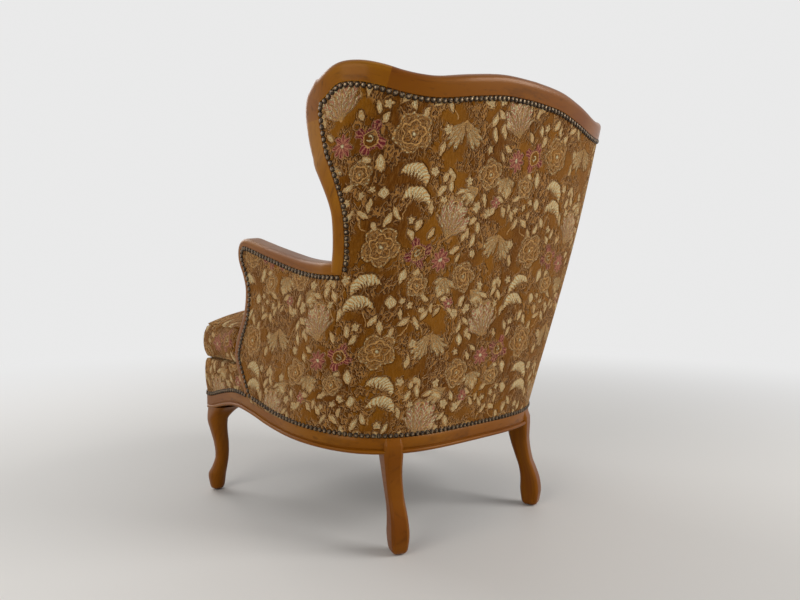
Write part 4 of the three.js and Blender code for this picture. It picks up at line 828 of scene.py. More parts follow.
def rail_place(along):
    share = np.interp(along, place_shares, place_seats)
    return pair_up(along, seat_edge_up(share) + COVER_CLEAR)


def up_the_wing(share):
    return 1 - share * (1 - RIM_CORNER)


def outside_places(u, v):
    """Upper back and wings: u from the middle (0) to the side (1), v from the arm line to the crest."""
    return inside_edges(
        lambda s: pair_up(s * wing_foot[0], wing_foot[1]),
        lambda s: rim_line(s * RIM_CORNER),
        lambda s: pair_up(0, mix(wing_foot[1], CREST_MIDDLE_UP, s)),
        lambda s: rim_line(up_the_wing(s)),
        u, v,
    )


def side_places(u, v):
    """Below an arm; u from the wing's foot (0) to the stump (1)."""
    return inside_edges(
        lambda s: rail_place(mix(wing_foot[0], stump_foot[0], s)),
        lambda s: side_line(s * SIDE_CORNER),
        lambda s: pair_up(wing_foot[0], mix(rail_place(wing_foot[0])[1], wing_foot[1], s)),
        lambda s: side_line(mix(1, SIDE_CORNER, s)),
        u, v,
    )


def lower_back_places(u, v):
    low = rail_place(u * wing_foot[0])
    return pair_up(low[..., 0], mix(low[..., 1], wing_foot[1], v))


arc_ups = np.linspace(RAIL_LOW_UP - RAIL_RISE, CREST_MIDDLE_UP, 33)
arc_alongs = np.linspace(0, 2, 401)
arcs = np.array([run_along(barrel(arc_alongs, up)) for up in arc_ups])


def cloth_of(place):
    """Where a place lies on the outside cloth, in metres: its way round from mid-back, and its height."""
    row = np.clip((place[..., 1] - arc_ups[0]) / (arc_ups[1] - arc_ups[0]), 0, len(arc_ups) - 1.001)
    column = np.clip(np.abs(place[..., 0]) / arc_alongs[1], 0, len(arc_alongs) - 1.001)
    i, j = row.astype(int), column.astype(int)
    low = mix(arcs[i, j], arcs[i, j + 1], column - j)
    high = mix(arcs[i + 1, j], arcs[i + 1, j + 1], column - j)
    arc = np.sign(place[..., 0]) * mix(low, high, row - i)
    return np.stack([arc, place[..., 1], np.zeros_like(arc)], axis=-1) * MM


def grid_uv(columns, rows):
    v, u = np.meshgrid(np.linspace(0, 1, rows + 1), np.linspace(0, 1, columns + 1), indexing="ij")
    return u, v


def sheet_faces(rows, columns, start=0):
    r, c = np.meshgrid(np.arange(rows - 1), np.arange(columns - 1), indexing="ij")
    a = start + r * columns + c
    return np.stack([a, a + 1, a + columns + 1, a + columns], axis=-1).reshape(-1, 4).tolist()


def slab(front, back):
    """A closed body between two grids of points."""
    rows, columns, _ = front.shape
    total = rows * columns
    faces = sheet_faces(rows, columns)
    faces += [face[::-1] for face in sheet_faces(rows, columns, total)]
    number = np.arange(total).reshape(rows, columns)
    edge = [*number[0, :], *number[1:, -1], *number[-1, -2::-1], *number[-2:0:-1, 0]]
    for i, a in enumerate(edge):
        b = edge[(i + 1) % len(edge)]
        faces.append((a, b, b + total, a + total))
    return np.concatenate([front.reshape(-1, 3), back.reshape(-1, 3)]), faces


# Materials


def material(name):
    made = bpy.data.materials.new(name)
    made.use_nodes = True
    return made, made.node_tree, made.node_tree.nodes["Principled BSDF"]


class Value:
    """A number that a shader works out; arithmetic on it adds Math nodes."""

    def __init__(self, tree, socket):
        self.tree, self.socket = tree, socket

    def math(self, operation, *others):
        node = self.tree.nodes.new("ShaderNodeMath")
        node.operation = operation
        for socket, value in zip(node.inputs, (self, *others)):
            plug(self.tree, value, socket)
        return Value(self.tree, node.outputs[0])

    def __add__(self, other):
        return self.math("ADD", other)

    def __sub__(self, other):
        return self.math("SUBTRACT", other)

    def __mul__(self, other):
        return self.math("MULTIPLY", other)

    def __truediv__(self, other):
        return self.math("DIVIDE", other)

    def __abs__(self):
        return self.math("ABSOLUTE")

    def times_plus(self, factor, more):
        return self.math("MULTIPLY_ADD", factor, more)

    def most(self, other):
        return self.math("MAXIMUM", other)

    def least(self, other):
        return self.math("MINIMUM", other)

    def sine(self):
        return self.math("SINE")

    def cosine(self):
        return self.math("COSINE")

    def floor(self):
        return self.math("FLOOR")

    def wrap(self, low, high):
        return self.math("WRAP", high, low)

    def step(self, low, high):
        """0 at low, 1 at high, smooth between."""
        node = self.tree.nodes.new("ShaderNodeMapRange")
        node.interpolation_type = "SMOOTHSTEP"
        plug(self.tree, self, node.inputs["Value"])
        settle(node, {"From Min": low, "From Max": high})
        return Value(self.tree, node.outputs["Result"])


def settle(node, values):
    """Sets what is the same everywhere on the node's own sockets."""
    for name, value in values.items():
        node.inputs[name].default_value = value


def plug(tree, value, socket):
    if isinstance(value, Value):
        tree.links.new(value.socket, socket)
    else:
        socket.default_value = value


def polar(x, y):
    return y.times_plus(y, x * x).math("SQRT"), y.math("ARCTAN2", x)


class Design:
    """A half-drop floral repeat in millimetres; each kind of thread is a mask that motifs add to, and one
    more mask holds the shade painted round each motif.
    """

    def __init__(self, x, y):
        self.x, self.y = x, y
        self.threads = {}
        self.places = 0

    def lay(self, thread, mask):
        self.threads[thread] = self.threads[thread].most(mask) if thread in self.threads else mask

    def local(self, across, up, turn=0.0):
        # No two motifs share a number, because a shared step of the shader stays in its small memory
        self.places += 1
        nudge = self.places * 0.001
        x, y = self.x - (across + nudge), self.y - (up + nudge)
        if turn:
            c, s = math.cos(math.radians(turn)), math.sin(math.radians(turn))
            x, y = y.times_plus(s, x * c), x.times_plus(-s, y * c)
        return x, y

    def daisy(self, across, up, radius, petals, core, turn=0.0):
        r, a = polar(*self.local(across, up, turn))
        petal = abs((a * (petals / 2)).cosine())
        edge = petal.times_plus(radius * 0.42, radius * 0.58)
        body = (r - edge).step(0.8, -0.8) * r.step(core - 0.6, core + 0.6)
        stroke = abs((a * (petals * 1.5)).cosine())
        self.lay("wine", body * petal.step(0.35, 0.7) * (edge - r).step(0.8, 2.4) * stroke.step(0.25, 0.6))
        self.lay("rose", body)
        self.lay("cream", r.step(core + 0.4, core - 0.8))
        self.lay("painted_shade", (r - edge).step(4.0, 0.3))

    def ring_flower(self, across, up, turn=0.0):
        x, y = self.local(across, up, turn)
        r, a = polar(x, y)
        edge = (a * 4).cosine().step(-0.6, 0.8).times_plus(12, 17.5)
        edge = abs((a * 10).cosine()).times_plus(3.4, edge - 1.6)
        body = (r - edge).step(0.8, -0.8) * r.step(13.5, 14.5)
        self.lay("wine", body * abs((a * 10).cosine()).step(0.3, 0.75) * (edge - r).step(0.6, 2.0))
        self.lay("rose", body)
        self.lay("gold", abs(r - 13).step(1.6, 0.7))
        inner, turn_inner = polar(x - 0.6, y * 1.25)
        self.lay("cream", abs(inner - 5.4).step(1.9, 0.8) * abs(turn_inner).step(0.5, 0.9))

    def outline_rose(self, across, up, radius, turn):
        r, a = polar(*self.local(across, up, turn))
        petals = abs((a * 2.5).sine())
        edge = petals.times_plus(radius * 0.24, radius * 0.76)
        outer = abs(r - edge)
        middle = abs(r - abs((a * 2.5).cosine()).times_plus(radius * 0.16, radius * 0.48))
        core = abs(r - (a * 3).sine().times_plus(radius * 0.05, radius * 0.24))
        beads = (a * 44).sine().times_plus(0.3, 0.7)
        self.lay("gold", outer.step(2.8, 1.1) * beads)
        self.lay("gold", middle.least(core).step(2.0, 0.8))
        self.lay("cream", outer.step(1.3, 0.4) * (a * 22).sine().step(-0.1, 0.7))
        within = abs(r - abs((a * 2.5).sine()).times_plus(radius * 0.18, radius * 0.62))
        self.lay("gold", within.step(1.5, 0.5) * beads)
        self.lay("blush", (r - edge).step(0.0, -1.5) * (a * 14 + r * 0.5).sine().times_plus(0.4, 0.5))
        self.lay("painted_shade", outer.least(middle).step(5.0, 1.0))
        self.lay("cream", (r - radius * 0.1).step(1.0, -1.0))

    def fan(self, across, up, size, turn, spread, lobes, light="cream", dark="rose"):
        """A leaf whose feathered lobes spread from its foot."""
        r, a = polar(*self.local(across, up, turn))
        share = a / spread
        lobe = (a * (lobes / spread / 2)).wrap(-0.5, 0.5)
        side = abs(lobe) * 2
        edge = (side * side).times_plus(-size * 0.3, size * 1.04)
        edge = (share * share).times_plus(-size * 0.34, edge)
        rim = (r - edge).most((abs(share) - 1.0) * (size * 0.8)).most((side - 0.88) * r * (spread / lobes))
        wave = (side * 9.0 - r * 0.5).sine()
        body = rim.step(-0.4, -1.6)
        self.lay(light, body * wave.step(0.1, 0.7))
        self.lay(dark, body * wave.step(0.0, -0.5))
        self.lay("gold", abs(rim + 0.4).step(1.5, 0.5))
        self.lay("blush", body * 0.5)
        self.lay("painted_shade", rim.step(6.0, 0.5) * abs(rim).step(0.2, 1.4))

    def scroll(self, across, up, radius, turn, width, span, lobes):
        """A serrated leaf that curls round a point."""
        r, a = polar(*self.local(across, up, turn))
        share = a / span
        room = (share * share).times_plus(-width, width)
        teeth = abs((share * (lobes * math.pi / 2)).sine())
        outer = r - radius - room * 0.32
        inner = room * teeth.times_plus(0.6, 0.5) + outer
        body = outer.step(0.8, -0.6) * inner.step(-0.8, 0.6)
        line = (r * 0.5 + a * (radius * 0.85)).sine().step(-0.85, -0.25)
        self.lay("cream", outer.step(-0.3, -1.3) * inner.step(0.8, 2.2) * line)
        self.lay("gold", body)
        self.lay("painted_shade", outer.step(4.5, 0.0) * inner.step(-5.0, 0.0))

    def leaves(self, places):
        """Small pointed leaves and buds as (across, up, turn, half length, half width)."""
        nearest = None
        for across, up, turn, half_length, half_width in places:
            x, y = self.local(across, up, turn)
            half_length, half_width = half_length * 1.2, half_width * 1.25
            distance = (x * x).times_plus(half_width / half_length**2, abs(y) - half_width)
            nearest = distance if nearest is None else nearest.least(distance)
        self.lay("gold", nearest.step(0.9, -0.2))
        self.lay("cream", nearest.step(-0.7, -1.7) * (nearest * 1.5).sine().step(1.0, 0.2))
        self.lay("painted_shade", nearest.step(4.0, 0.3))

    def stars(self, places):
        """Small star flowers as (across, up, radius, turn)."""
        nearest = None
        for across, up, radius, turn in places:
            r, a = polar(*self.local(across, up))
            distance = abs((a * 2.5 + turn).cosine()).times_plus(-radius * 0.42, r) - radius * 0.58
            nearest = distance if nearest is None else nearest.least(distance)
        self.lay("gold", nearest.step(0.9, -0.3))
        self.lay("cream", nearest.step(-0.9, -1.9) * (nearest * 1.9).sine().step(-1.0, 0.2))
        self.lay("painted_shade", nearest.step(4.0, 0.3))

    def stems(self, places):
        """Thin arcs as (across, up, radius, turn, half span in degrees)."""
        nearest = None
        for across, up, radius, turn, span in places:
            r, a = polar(*self.local(across, up, turn))
            past = (abs(a) - math.radians(span)).most(0.0)
            distance = past.times_plus(radius, abs(r - radius))
            nearest = distance if nearest is None else nearest.least(distance)
        self.lay("gold", nearest.step(1.4, 0.5))


REPEAT_ACROSS, REPEAT_UP = 390.0, 400.0
SWAY = 30.0


def folded(u, v):
    """Places in one column of the repeat; every other column is mirrored and dropped by half."""
    half = REPEAT_ACROSS / 2
    sway = (v * (2 * math.pi / REPEAT_UP)).cosine() * SWAY
    column = ((u - sway) / half + 0.5).floor()
    odd = column.wrap(0.0, 2.0)
    x = column.times_plus(-half, u) * odd.times_plus(-2.0, 1.0)
    y = odd.times_plus(REPEAT_UP / 2, v).wrap(-232.0, 168.0)
    return x, y


def flowers(x, y):
    design = Design(x, y)
    design.stems([
        (-30, -165, 34, 60, 45), (-62, -130, 30, -20, 50), (-20, 60, 60, 170, 25), (70, 10, 55, 40, 40),
        (30, -140, 40, 100, 40), (20, 150, 50, -120, 40), (75, -85, 42, -60, 40), (60, 60, 70, 150, 22),
    ])
    design.outline_rose(-84, -188, 36, 12)
    design.outline_rose(84, -44, 30, 40)
    design.outline_rose(-26, -60, 22, -20)
    design.fan(24, 30, 74, 74, 0.95, 6)
    design.fan(38, -44, 36, -95, 1.3, 5, "cream", "gold")
    design.fan(24, -156, 56, -46, 0.5, 4, "cream", "gold")
    design.fan(24, -156, 56, -122, 0.5, 4, "cream", "gold")
    design.fan(-66, -14, 44, 150, 0.8, 4)
    design.fan(84, 128, 46, -150, 0.7, 4, "cream", "gold")
    design.scroll(-60, 84, 30, 78, 24, 1.4, 9)
    design.scroll(-72, 124, 31, 68, 24, 1.35, 9)
    design.ring_flower(-36, 0, 20)
    design.daisy(17, -12, 22, 8, 4)
    design.daisy(56, -96, 13, 6, 3)
    design.outline_rose(30, 88, 20, 10)
    design.leaves([
        (-60, -42, 75, 13, 6), (-74, -92, 90, 10, 7.5), (-42, -132, 30, 11, 4), (-16, -134, 120, 11, 4),
        (-52, -116, 100, 9, 3.5), (0, -118, 60, 10, 4), (14, -104, 95, 9, 3.6), (28, -112, 50, 9, 3.6),
        (-6, 118, 60, 11, 4.5), (14, 128, 110, 11, 4.5), (40, 118, 20, 10, 4), (92, 28, 70, 12, 5),
        (100, 54, 110, 11, 4.5), (84, 66, 40, 10, 4), (-58, 36, 120, 10, 4), (-44, 52, 70, 10, 4.5),
        (62, -112, 130, 11, 4), (60, -8, 60, 9, 4), (-104, -128, 60, 11, 4.5), (-20, -210, 80, 11, 4),
        (48, 8, 30, 10, 4), (66, 112, 150, 11, 4.5), (-22, 84, 100, 11, 4), (-6, -84, 150, 10, 4),
        (-88, -140, 110, 11, 4.5), (44, -88, 10, 10, 4), (-14, 38, 60, 9, 3.6), (90, -92, 70, 11, 4.5),
        (-2, 142, 80, 7, 4), (6, 150, 100, 7, 4), (14, 144, 120, 7, 4), (-96, 20, 60, 8, 4),
        (-104, 32, 90, 8, 4), (-92, 62, 130, 8, 4), (66, 34, 70, 8, 4), (74, 42, 100, 8, 4),
        (62, 52, 40, 7, 3.6), (-34, -36, 20, 7, 4), (28, -76, 80, 8, 4), (-64, -152, 60, 8, 4),
        (104, -118, 100, 8, 4), (-110, -60, 80, 8, 4),
    ])
    design.stars([
        (-28, 150, 9, 0.4), (76, -118, 10, 1.0), (58, 140, 9, 2.0), (88, 92, 11, 0.2), (-52, -88, 7, 0.9),
        (-14, -176, 9, 1.6), (2, 100, 8, 0.5), (-60, 60, 8, 2.2), (98, 2, 8, 0), (50, 84, 8, 1.2),
        (-8, -108, 7, 0.3), (-34, -100, 7, 1.4),
    ])
    return design.threads


def places_of(tree, attribute):
    """The stored places of a surface as three numbers, and as one vector socket."""
    node = tree.nodes.new("ShaderNodeAttribute")
    node.attribute_name = attribute
    parts = tree.nodes.new("ShaderNodeSeparateXYZ")
    tree.links.new(node.outputs["Vector"], parts.inputs[0])
    return [Value(tree, socket) for socket in parts.outputs], node.outputs["Vector"]


def object_places(tree):
    return tree.nodes.new("ShaderNodeTexCoord").outputs["Object"]


def noise(tree, vector, scale, stretch=(1, 1, 1), detail=3.0, roughness=0.6):
    """Noise around a half, as a number and as a colour socket."""
    scaled = tree.nodes.new("ShaderNodeVectorMath")
    scaled.operation = "MULTIPLY"
    tree.links.new(vector, scaled.inputs[0])
    scaled.inputs[1].default_value = stretch
    node = tree.nodes.new("ShaderNodeTexNoise")
    tree.links.new(scaled.outputs[0], node.inputs["Vector"])
    settle(node, {"Scale": scale, "Detail": detail, "Roughness": roughness})
    return Value(tree, node.outputs["Fac"]), node.outputs["Color"]


def blend(tree, factor, low, high):
    """A colour between two, each an (r, g, b) or a socket."""
    node = tree.nodes.new("ShaderNodeMix")
    node.data_type = "RGBA"
    plug(tree, factor, node.inputs["Factor"])
    for socket, colour in ((node.inputs[6], low), (node.inputs[7], high)):
        if isinstance(colour, tuple):
            socket.default_value = (*colour, 1)
        else:
            tree.links.new(colour, socket)
    return node.outputs[2]


def bump(tree, shader, height, distance, strength=1.0):
    node = tree.nodes.new("ShaderNodeBump")
    settle(node, {"Strength": strength, "Distance": distance})
    plug(tree, height, node.inputs["Height"])
    tree.links.new(node.outputs["Normal"], shader.inputs["Normal"])


GROUND_DARK, GROUND, GROUND_LIGHT = (0.115, 0.033, 0.001), (0.225, 0.080, 0.003), (0.36, 0.165, 0.035)
BLUSH, GOLD, ROSE = (0.38, 0.175, 0.045), (0.60, 0.32, 0.10), (0.46, 0.19, 0.11)
CREAM, SAGE, WINE = (0.66, 0.55, 0.31), (0.31, 0.27, 0.14), (0.145, 0.015, 0.022)
# The dark of the painted groove shadows, dashed in the painted shade round the motifs
PAINTED_GROOVE_SHADOW = (0.045, 0.014, 0.002)


def velvet_material():
    """Cut velvet: a looped pile of several colours over a napped ground that is crushed in places, with
    shade and dark groove shadows painted round the raised motifs.
    """
    made, tree, shader = material("cut_velvet")
    (across, up, _), vector = places_of(tree, "cloth")
    shifted = [across / MM, up / MM]
    for scale, reach, detail in ((45, 11.0, 1.0), (190, 6.5, 3.0)):
        _, shake = noise(tree, vector, scale, detail=detail)
        split = tree.nodes.new("ShaderNodeSeparateColor")
        tree.links.new(shake, split.inputs[0])
        shifted = [
            (Value(tree, split.outputs[i]) - 0.5).times_plus(reach, place) for i, place in enumerate(shifted)
        ]
    dash = Value(tree, split.outputs[2])
    threads = flowers(*folded(*shifted))
    crushed, _ = noise(tree, vector, 8, (1, 0.6, 1), 2.0)
    nap, _ = noise(tree, vector, 380, (1, 0.16, 1), 2.0)
    speck, _ = noise(tree, vector, 420, detail=2.0)
    curl, _ = noise(tree, vector, 46, (1.3, 0.8, 1), 2.0)
    patch, _ = noise(tree, vector, 18, detail=1.0)
    curl, patch = abs(curl - 0.5), patch.step(0.42, 0.54)
    embossed = curl.step(0.045, 0.015) * patch
    # Painted shade: a band round each motif and each embossed curl is darkened in the colour, as if the
    # raised pile shaded it; the same mask also lowers the pile in the bump
    cut_and_painted_shade = threads["painted_shade"].most(curl.step(0.11, 0.06) * curl.step(0.02, 0.05) * patch)
    colour = blend(tree, (crushed + (speck - 0.5) * 0.35).step(0.36, 0.64), GROUND_DARK, GROUND)
    colour = blend(tree, nap.step(0.4, 0.8) * 0.4, colour, GROUND_LIGHT)
    # Painted shade round the motifs, then painted groove shadows as dark dashes within it
    colour = blend(tree, cut_and_painted_shade * 0.6, colour, GROUND_DARK)
    colour = blend(tree, cut_and_painted_shade * dash.step(0.5, 0.58), colour, PAINTED_GROOVE_SHADOW)
    colour = blend(tree, embossed.most(threads["blush"]) * 0.85, colour, BLUSH)
    colour = blend(tree, threads["gold"] * speck.step(0.25, 0.5), colour, GOLD)
    colour = blend(tree, threads["rose"] * speck.step(0.2, 0.45), colour, ROSE)
    pale = blend(tree, speck.step(0.32, 0.52), SAGE, CREAM)
    colour = blend(tree, threads["cream"], colour, pale)
    colour = blend(tree, threads["wine"] * speck.step(0.25, 0.45), colour, WINE)
    tree.links.new(colour, shader.inputs["Base Color"])
    raised = threads["cream"].most(threads["rose"] * 0.7).most(threads["gold"] * 0.75).most(embossed * 0.6)
    bump(tree, shader, speck.times_plus(0.3, nap * 0.2) + raised - cut_and_painted_shade * 0.9, 0.005, 1.0)
    settle(shader, {
        "Roughness": 0.85, "Specular IOR Level": 0.15, "Specular Tint": (1, 0.7, 0.4, 1),
        "Sheen Weight": 0.8, "Sheen Roughness": 0.32, "Sheen Tint": (1, 0.6, 0.3, 1),
    })
    return made


WOOD_DEEP, WOOD_RED = (0.045, 0.011, 0.001), (0.145, 0.034, 0.001)
WOOD_AMBER, WOOD_HONEY = (0.20, 0.060, 0.001), (0.32, 0.125, 0.004)


def wood_material():
    """Lacquered wood, its grain along each piece and its tone a little different on each."""
    made, tree, shader = material("show_wood")
    (_, _, tone), vector = places_of(tree, "grain")
    figure, _ = noise(tree, vector, 14, (0.35, 1.6, 3), 3.0, 0.5)
    fibre, _ = noise(tree, vector, 160, (0.06, 1.4, 1), 4.0, 0.7)
    pores, _ = noise(tree, vector, 900, (0.05, 1, 1), 1.0)
    cloudy, _ = noise(tree, vector, 5, (1, 2, 4), 2.0)
    warm = blend(tree, (tone + cloudy * 0.8 - 0.4).step(0.0, 0.9), WOOD_HONEY, WOOD_RED)
    colour = blend(tree, figure.step(0.35, 0.62), warm, WOOD_AMBER)
    colour = blend(tree, fibre.step(0.5, 0.75) * 0.55, colour, WOOD_DEEP)
    colour = blend(tree, pores.step(0.6, 0.75) * 0.4, colour, WOOD_DEEP)
    tree.links.new(colour, shader.inputs["Base Color"])
    plug(tree, cloudy.times_plus(0.25, 0.22) + pores * 0.1, shader.inputs["Roughness"])
    bump(tree, shader, fibre + pores * 0.6, 0.00012, 0.35)
    settle(shader, {
        "Specular IOR Level": 0.3, "Specular Tint": (1, 0.5, 0.15, 1),
        "Coat Weight": 0.1, "Coat Roughness": 0.16,
    })
    return made


def bronze_material():
    """Dark patina, rubbed bright on the tops of the domes."""
    made, tree, shader = material("antique_bronze")
    (height, _, _), _ = places_of(tree, "dome")
    patina, _ = noise(tree, object_places(tree), 260, detail=3.0)
    colour = blend(tree, patina.step(0.35, 0.65), (0.022, 0.015, 0.011), (0.085, 0.055, 0.030))
    colour = blend(tree, height.step(0.8, 1.0) * patina.step(0.35, 0.6), colour, (0.38, 0.27, 0.16))
    tree.links.new(colour, shader.inputs["Base Color"])
    plug(tree, patina.times_plus(-0.25, 0.5), shader.inputs["Roughness"])
    bump(tree, shader, patina, 0.0002, 0.4)
    settle(shader, {"Metallic": 0.85})
    return made


def mottled(name, dark, light, scale, roughness, metallic=0.0, stretch=(1, 1, 1)):
    """A plain material whose colour, roughness and surface vary a little."""
    made, tree, shader = material(name)
    fine, _ = noise(tree, object_places(tree), scale, stretch, 4.0)
    broad, _ = noise(tree, object_places(tree), scale / 12, detail=2.0)
    colour = blend(tree, (fine * 0.6 + broad * 0.4).step(0.3, 0.7), dark, light)
    tree.links.new(colour, shader.inputs["Base Color"])
    plug(tree, fine.times_plus(0.2, roughness - 0.1), shader.inputs["Roughness"])
    bump(tree, shader, fine, 0.0004, 0.5)
    settle(shader, {"Metallic": metallic})
    return made


def weave_material(name, dark, light, pitch):
    """A plain weave of crossing threads."""
    made, tree, shader = material(name)
    parts = tree.nodes.new("ShaderNodeSeparateXYZ")
    places = object_places(tree)
    tree.links.new(places, parts.inputs[0])
    x, y, _ = (Value(tree, socket) * (math.pi / pitch) for socket in parts.outputs)
    over = x.sine() * y.sine()
    slub, _ = noise(tree, places, 0.4 / pitch, detail=3.0)
    height = abs(over) + slub * 0.5
    tree.links.new(blend(tree, (height * slub).step(0.1, 0.6), dark, light), shader.inputs["Base Color"])
    bump(tree, shader, height, pitch * 0.4, 0.8)
    settle(shader, {"Roughness": 0.95})
    return made


show_wood = wood_material()
velvet = velvet_material()
bronze = bronze_material()
frame_wood = mottled("frame_wood", (0.42, 0.27, 0.13), (0.62, 0.45, 0.25), 90, 0.75, stretch=(1, 1, 0.2))
steel = mottled("steel", (0.16, 0.16, 0.17), (0.42, 0.42, 0.43), 120, 0.42, 0.9)
burlap = weave_material("burlap", (0.16, 0.10, 0.045), (0.50, 0.36, 0.19), 0.0022)
black_cloth = weave_material("black_cloth", (0.008, 0.008, 0.009), (0.035, 0.035, 0.037), 0.0012)
glide_plastic = mottled("glide_plastic", (0.022, 0.016, 0.012), (0.05, 0.037, 0.028), 300, 0.45)

# Show-wood


def rail(frames):
    return swept(np.array([rail_outline(RAIL_TOP_UP - up) for up in frames.at[:, 2]]), frames)


def across_front(shares):
    """Frames from the left end of shares, over the middle of the front, to the right end."""
    left = seat_frames(shares)
    at = np.concatenate([left.at, mirror(left.at[-2::-1])])
    out = np.concatenate([left.out, mirror(left.out[-2::-1])])
    edge = np.broadcast_to([0.0, 0.0, 1.0], at.shape)
    return Frames(at, out, edge, np.concatenate([shares, -shares[-2::-1]]))


def add_wood(name, grid, tone):
    add(f"{name}_look", loft(grid), show_wood, node=name, slot="show_wood", grain=grain_of(grid, tone))


def add_wood_pair(name, grid, tone):
    add_pair(name, loft(grid), show_wood, slot="show_wood", grain=grain_of(grid, tone))


add_wood("crest_rail", rim_wood(-RIM_JOINT, RIM_JOINT, 161), 0.8)
add_wood_pair("wing_rail", rim_wood(RIM_JOINT, RIM_POST, 49), 0.1)
add_wood_pair("wing_post", rim_wood(RIM_POST, RIM_END, 57), 0.2)
add_wood_pair("arm_rail", side_wood(0, SIDE_JOINT, 97), 0.35)
add_wood_pair("arm_stump", side_wood(SIDE_JOINT, SIDE_END, 81), 0.4)
add_wood_pair("front_leg", front_leg(), 0.6)
add_wood_pair("rear_leg_and_post", rear_leg(), 0.7)
add_wood("back_rail", rail(seat_frames(np.linspace(-REAR_LEG_SHARE, REAR_LEG_SHARE, 61))), 0.55)
add_wood_pair("side_rail", rail(seat_frames(np.linspace(REAR_LEG_SHARE, CORNER_IN, 121))), 0.5)
add_wood("front_rail", rail(across_front(np.linspace(CORNER_OUT, 1, 41))), 0.5)

# Covers


def add_velvet(name, part, cloth, **words):
    return add(f"{name}_look", part, velvet, node=name, slot="cut_velvet", sharp=0, cloth=cloth, **words)


def both_halves(places):
    return np.concatenate([places[:, :0:-1] * [-1, 1], places], axis=1)


def cover():
    """One wrap from stump to stump, below the arms and up to the crest, and its places on the cloth."""
    back, side = lower_back_places(*grid_uv(64, 64)), side_places(*grid_uv(88, 64))
    low = both_halves(np.concatenate([back, side[:, 1:]], axis=1))
    upper = both_halves(outside_places(*grid_uv(64, 64)))
    rows, columns, _ = low.shape
    first, last = (columns - upper.shape[1]) // 2, (columns + upper.shape[1]) // 2
    place = np.concatenate([low.reshape(-1, 2), upper[1:].reshape(-1, 2)])
    number = np.full((rows + len(upper) - 1, columns), -1)
    number[:rows] = np.arange(rows * columns).reshape(rows, columns)
    above = np.arange((len(upper) - 1) * (last - first)).reshape(len(upper) - 1, -1)
    number[rows:, first:last] = rows * columns + above
    quads = np.stack([number[:-1, :-1], number[:-1, 1:], number[1:, 1:], number[1:, :-1]], axis=-1)
    quads = quads.reshape(-1, 4)
    quads = quads[(quads >= 0).all(axis=1)]
    total = len(place)
    sides = {}  # the quads' edges that only one quad has, in the order they are met
    for quad in quads.tolist():
        for a, b in zip(quad, quad[1:] + quad[:1]):
            if (b, a) in sides:
                del sides[(b, a)]
            else:
                sides[(a, b)] = True
    faces = quads.tolist() + (quads[:, ::-1] + total).tolist()
    faces += [[b, a, a + total, b + total] for a, b in sides]
    points = np.concatenate([on_barrel_at(place, np.full(total, depth)) for depth in (0.0, COVER_DEPTH)])
    return (points, faces), np.tile(cloth_of(place), (2, 1))


outside_cover = add_velvet("outside_cover", *cover())


def pad_look(columns, rows, places, depth):
    """A stuffed pad, rolling down at its seams: its solid, its places on the cloth and its fixed points."""
    u, v = grid_uv(columns, rows)
    u, v = (mix(share, 0.5 - 0.5 * np.cos(share * math.pi), PAD_EDGE_CROWDING) for share in (u, v))
    place = places(u, v)
    flat = on_barrel_at(place, depth(u, v))
    along = np.linalg.norm(np.diff(flat, axis=1), axis=2).sum(axis=1)[:, None]
    up = np.linalg.norm(np.diff(flat, axis=0), axis=2).sum(axis=0)[None, :]
    near = np.minimum(np.minimum(u, 1 - u) * along, np.minimum(v, 1 - v) * up)
    inside = 1 - np.clip(near / (PAD_ROLL * 1.5), 0, 1)
    roll = PAD_ROLL * (1 - np.sqrt(1 - inside**2))
    stuffing = uneven(flat, STUFFING_SCALE, STUFFING_DEPTH) * np.clip(near / STUFFING_FADE, 0, 1)
    lowered = PAD_SWELL * np.clip(near / PAD_SWELL_FADE, 0, 1)
    front = on_barrel_at(place, depth(u, v) - roll - lowered + stuffing)
    back = on_barrel_at(place, np.full(u.shape, PAD_BACK_DEPTH))
    edge = np.concatenate([np.flatnonzero(near.ravel() < PAD_PINNED), np.arange(near.size, 2 * near.size)])
    return slab(front, back), np.tile(cloth_of(place).reshape(-1, 3), (2, 1)), edge


def add_pads(name, look, pair=True):
    part, cloth, edge = look
    if pair:
        made = add_pair(name, part, velvet, slot="cut_velvet", cloth=cloth, sharp=0)
    else:
        made = [add_velvet(name, part, cloth)]
    for pad in made:
        swell(pad, PAD_SWELL, edge)


SPLIT_SHARE = bisect(0, RIM_JOINT, lambda share: rim_line(share)[0] < BACK_PAD_END_ALONG)
split_top = rim_line(SPLIT_SHARE)
PAD_FOOT_UP = DECK_TOP_UP + SEAT_GAP


def back_places(u, v):
    side = 2 * u - 1
    top = rim_line(side * SPLIT_SHARE)[..., 1] - SEAT_GAP
    return pair_up(side * BACK_PAD_END_ALONG, mix(PAD_FOOT_UP, top, v))


def back_depth(u, v):
    side = np.abs(2 * u - 1)
    middle = mix(BACK_PAD_DEPTH, CORNER_PAD_DEPTH, side**2)
    lumbar = BACK_PAD_LUMBAR * (1 - side**2) * np.exp(-(((v - BACK_LUMBAR_SHARE) / BACK_LUMBAR_SHARE) ** 2))
    return mix(middle, PAD_EDGE_DEPTH, smoothstep(v, 0.55, 1)) + lumbar


add_pads("inside_back_pad", pad_look(84, 84, back_places, back_depth), pair=False)


def wing_places(u, v):
    return inside_edges(
        lambda s: pair_up(mix(split_top[0], rim_line(1.0)[0], s), ARM_LINE_REAR_UP),
        lambda s: rim_line(mix(SPLIT_SHARE, RIM_CORNER, s)),
        lambda s: pair_up(split_top[0], mix(ARM_LINE_REAR_UP, split_top[1], s)),
        lambda s: rim_line(up_the_wing(s)),
        u, v,
    )


def wing_depth(u, v):
    return mix(mix(CORNER_PAD_DEPTH, WING_PAD_DEPTH, u), PAD_EDGE_DEPTH, np.maximum(u, v) ** 6)


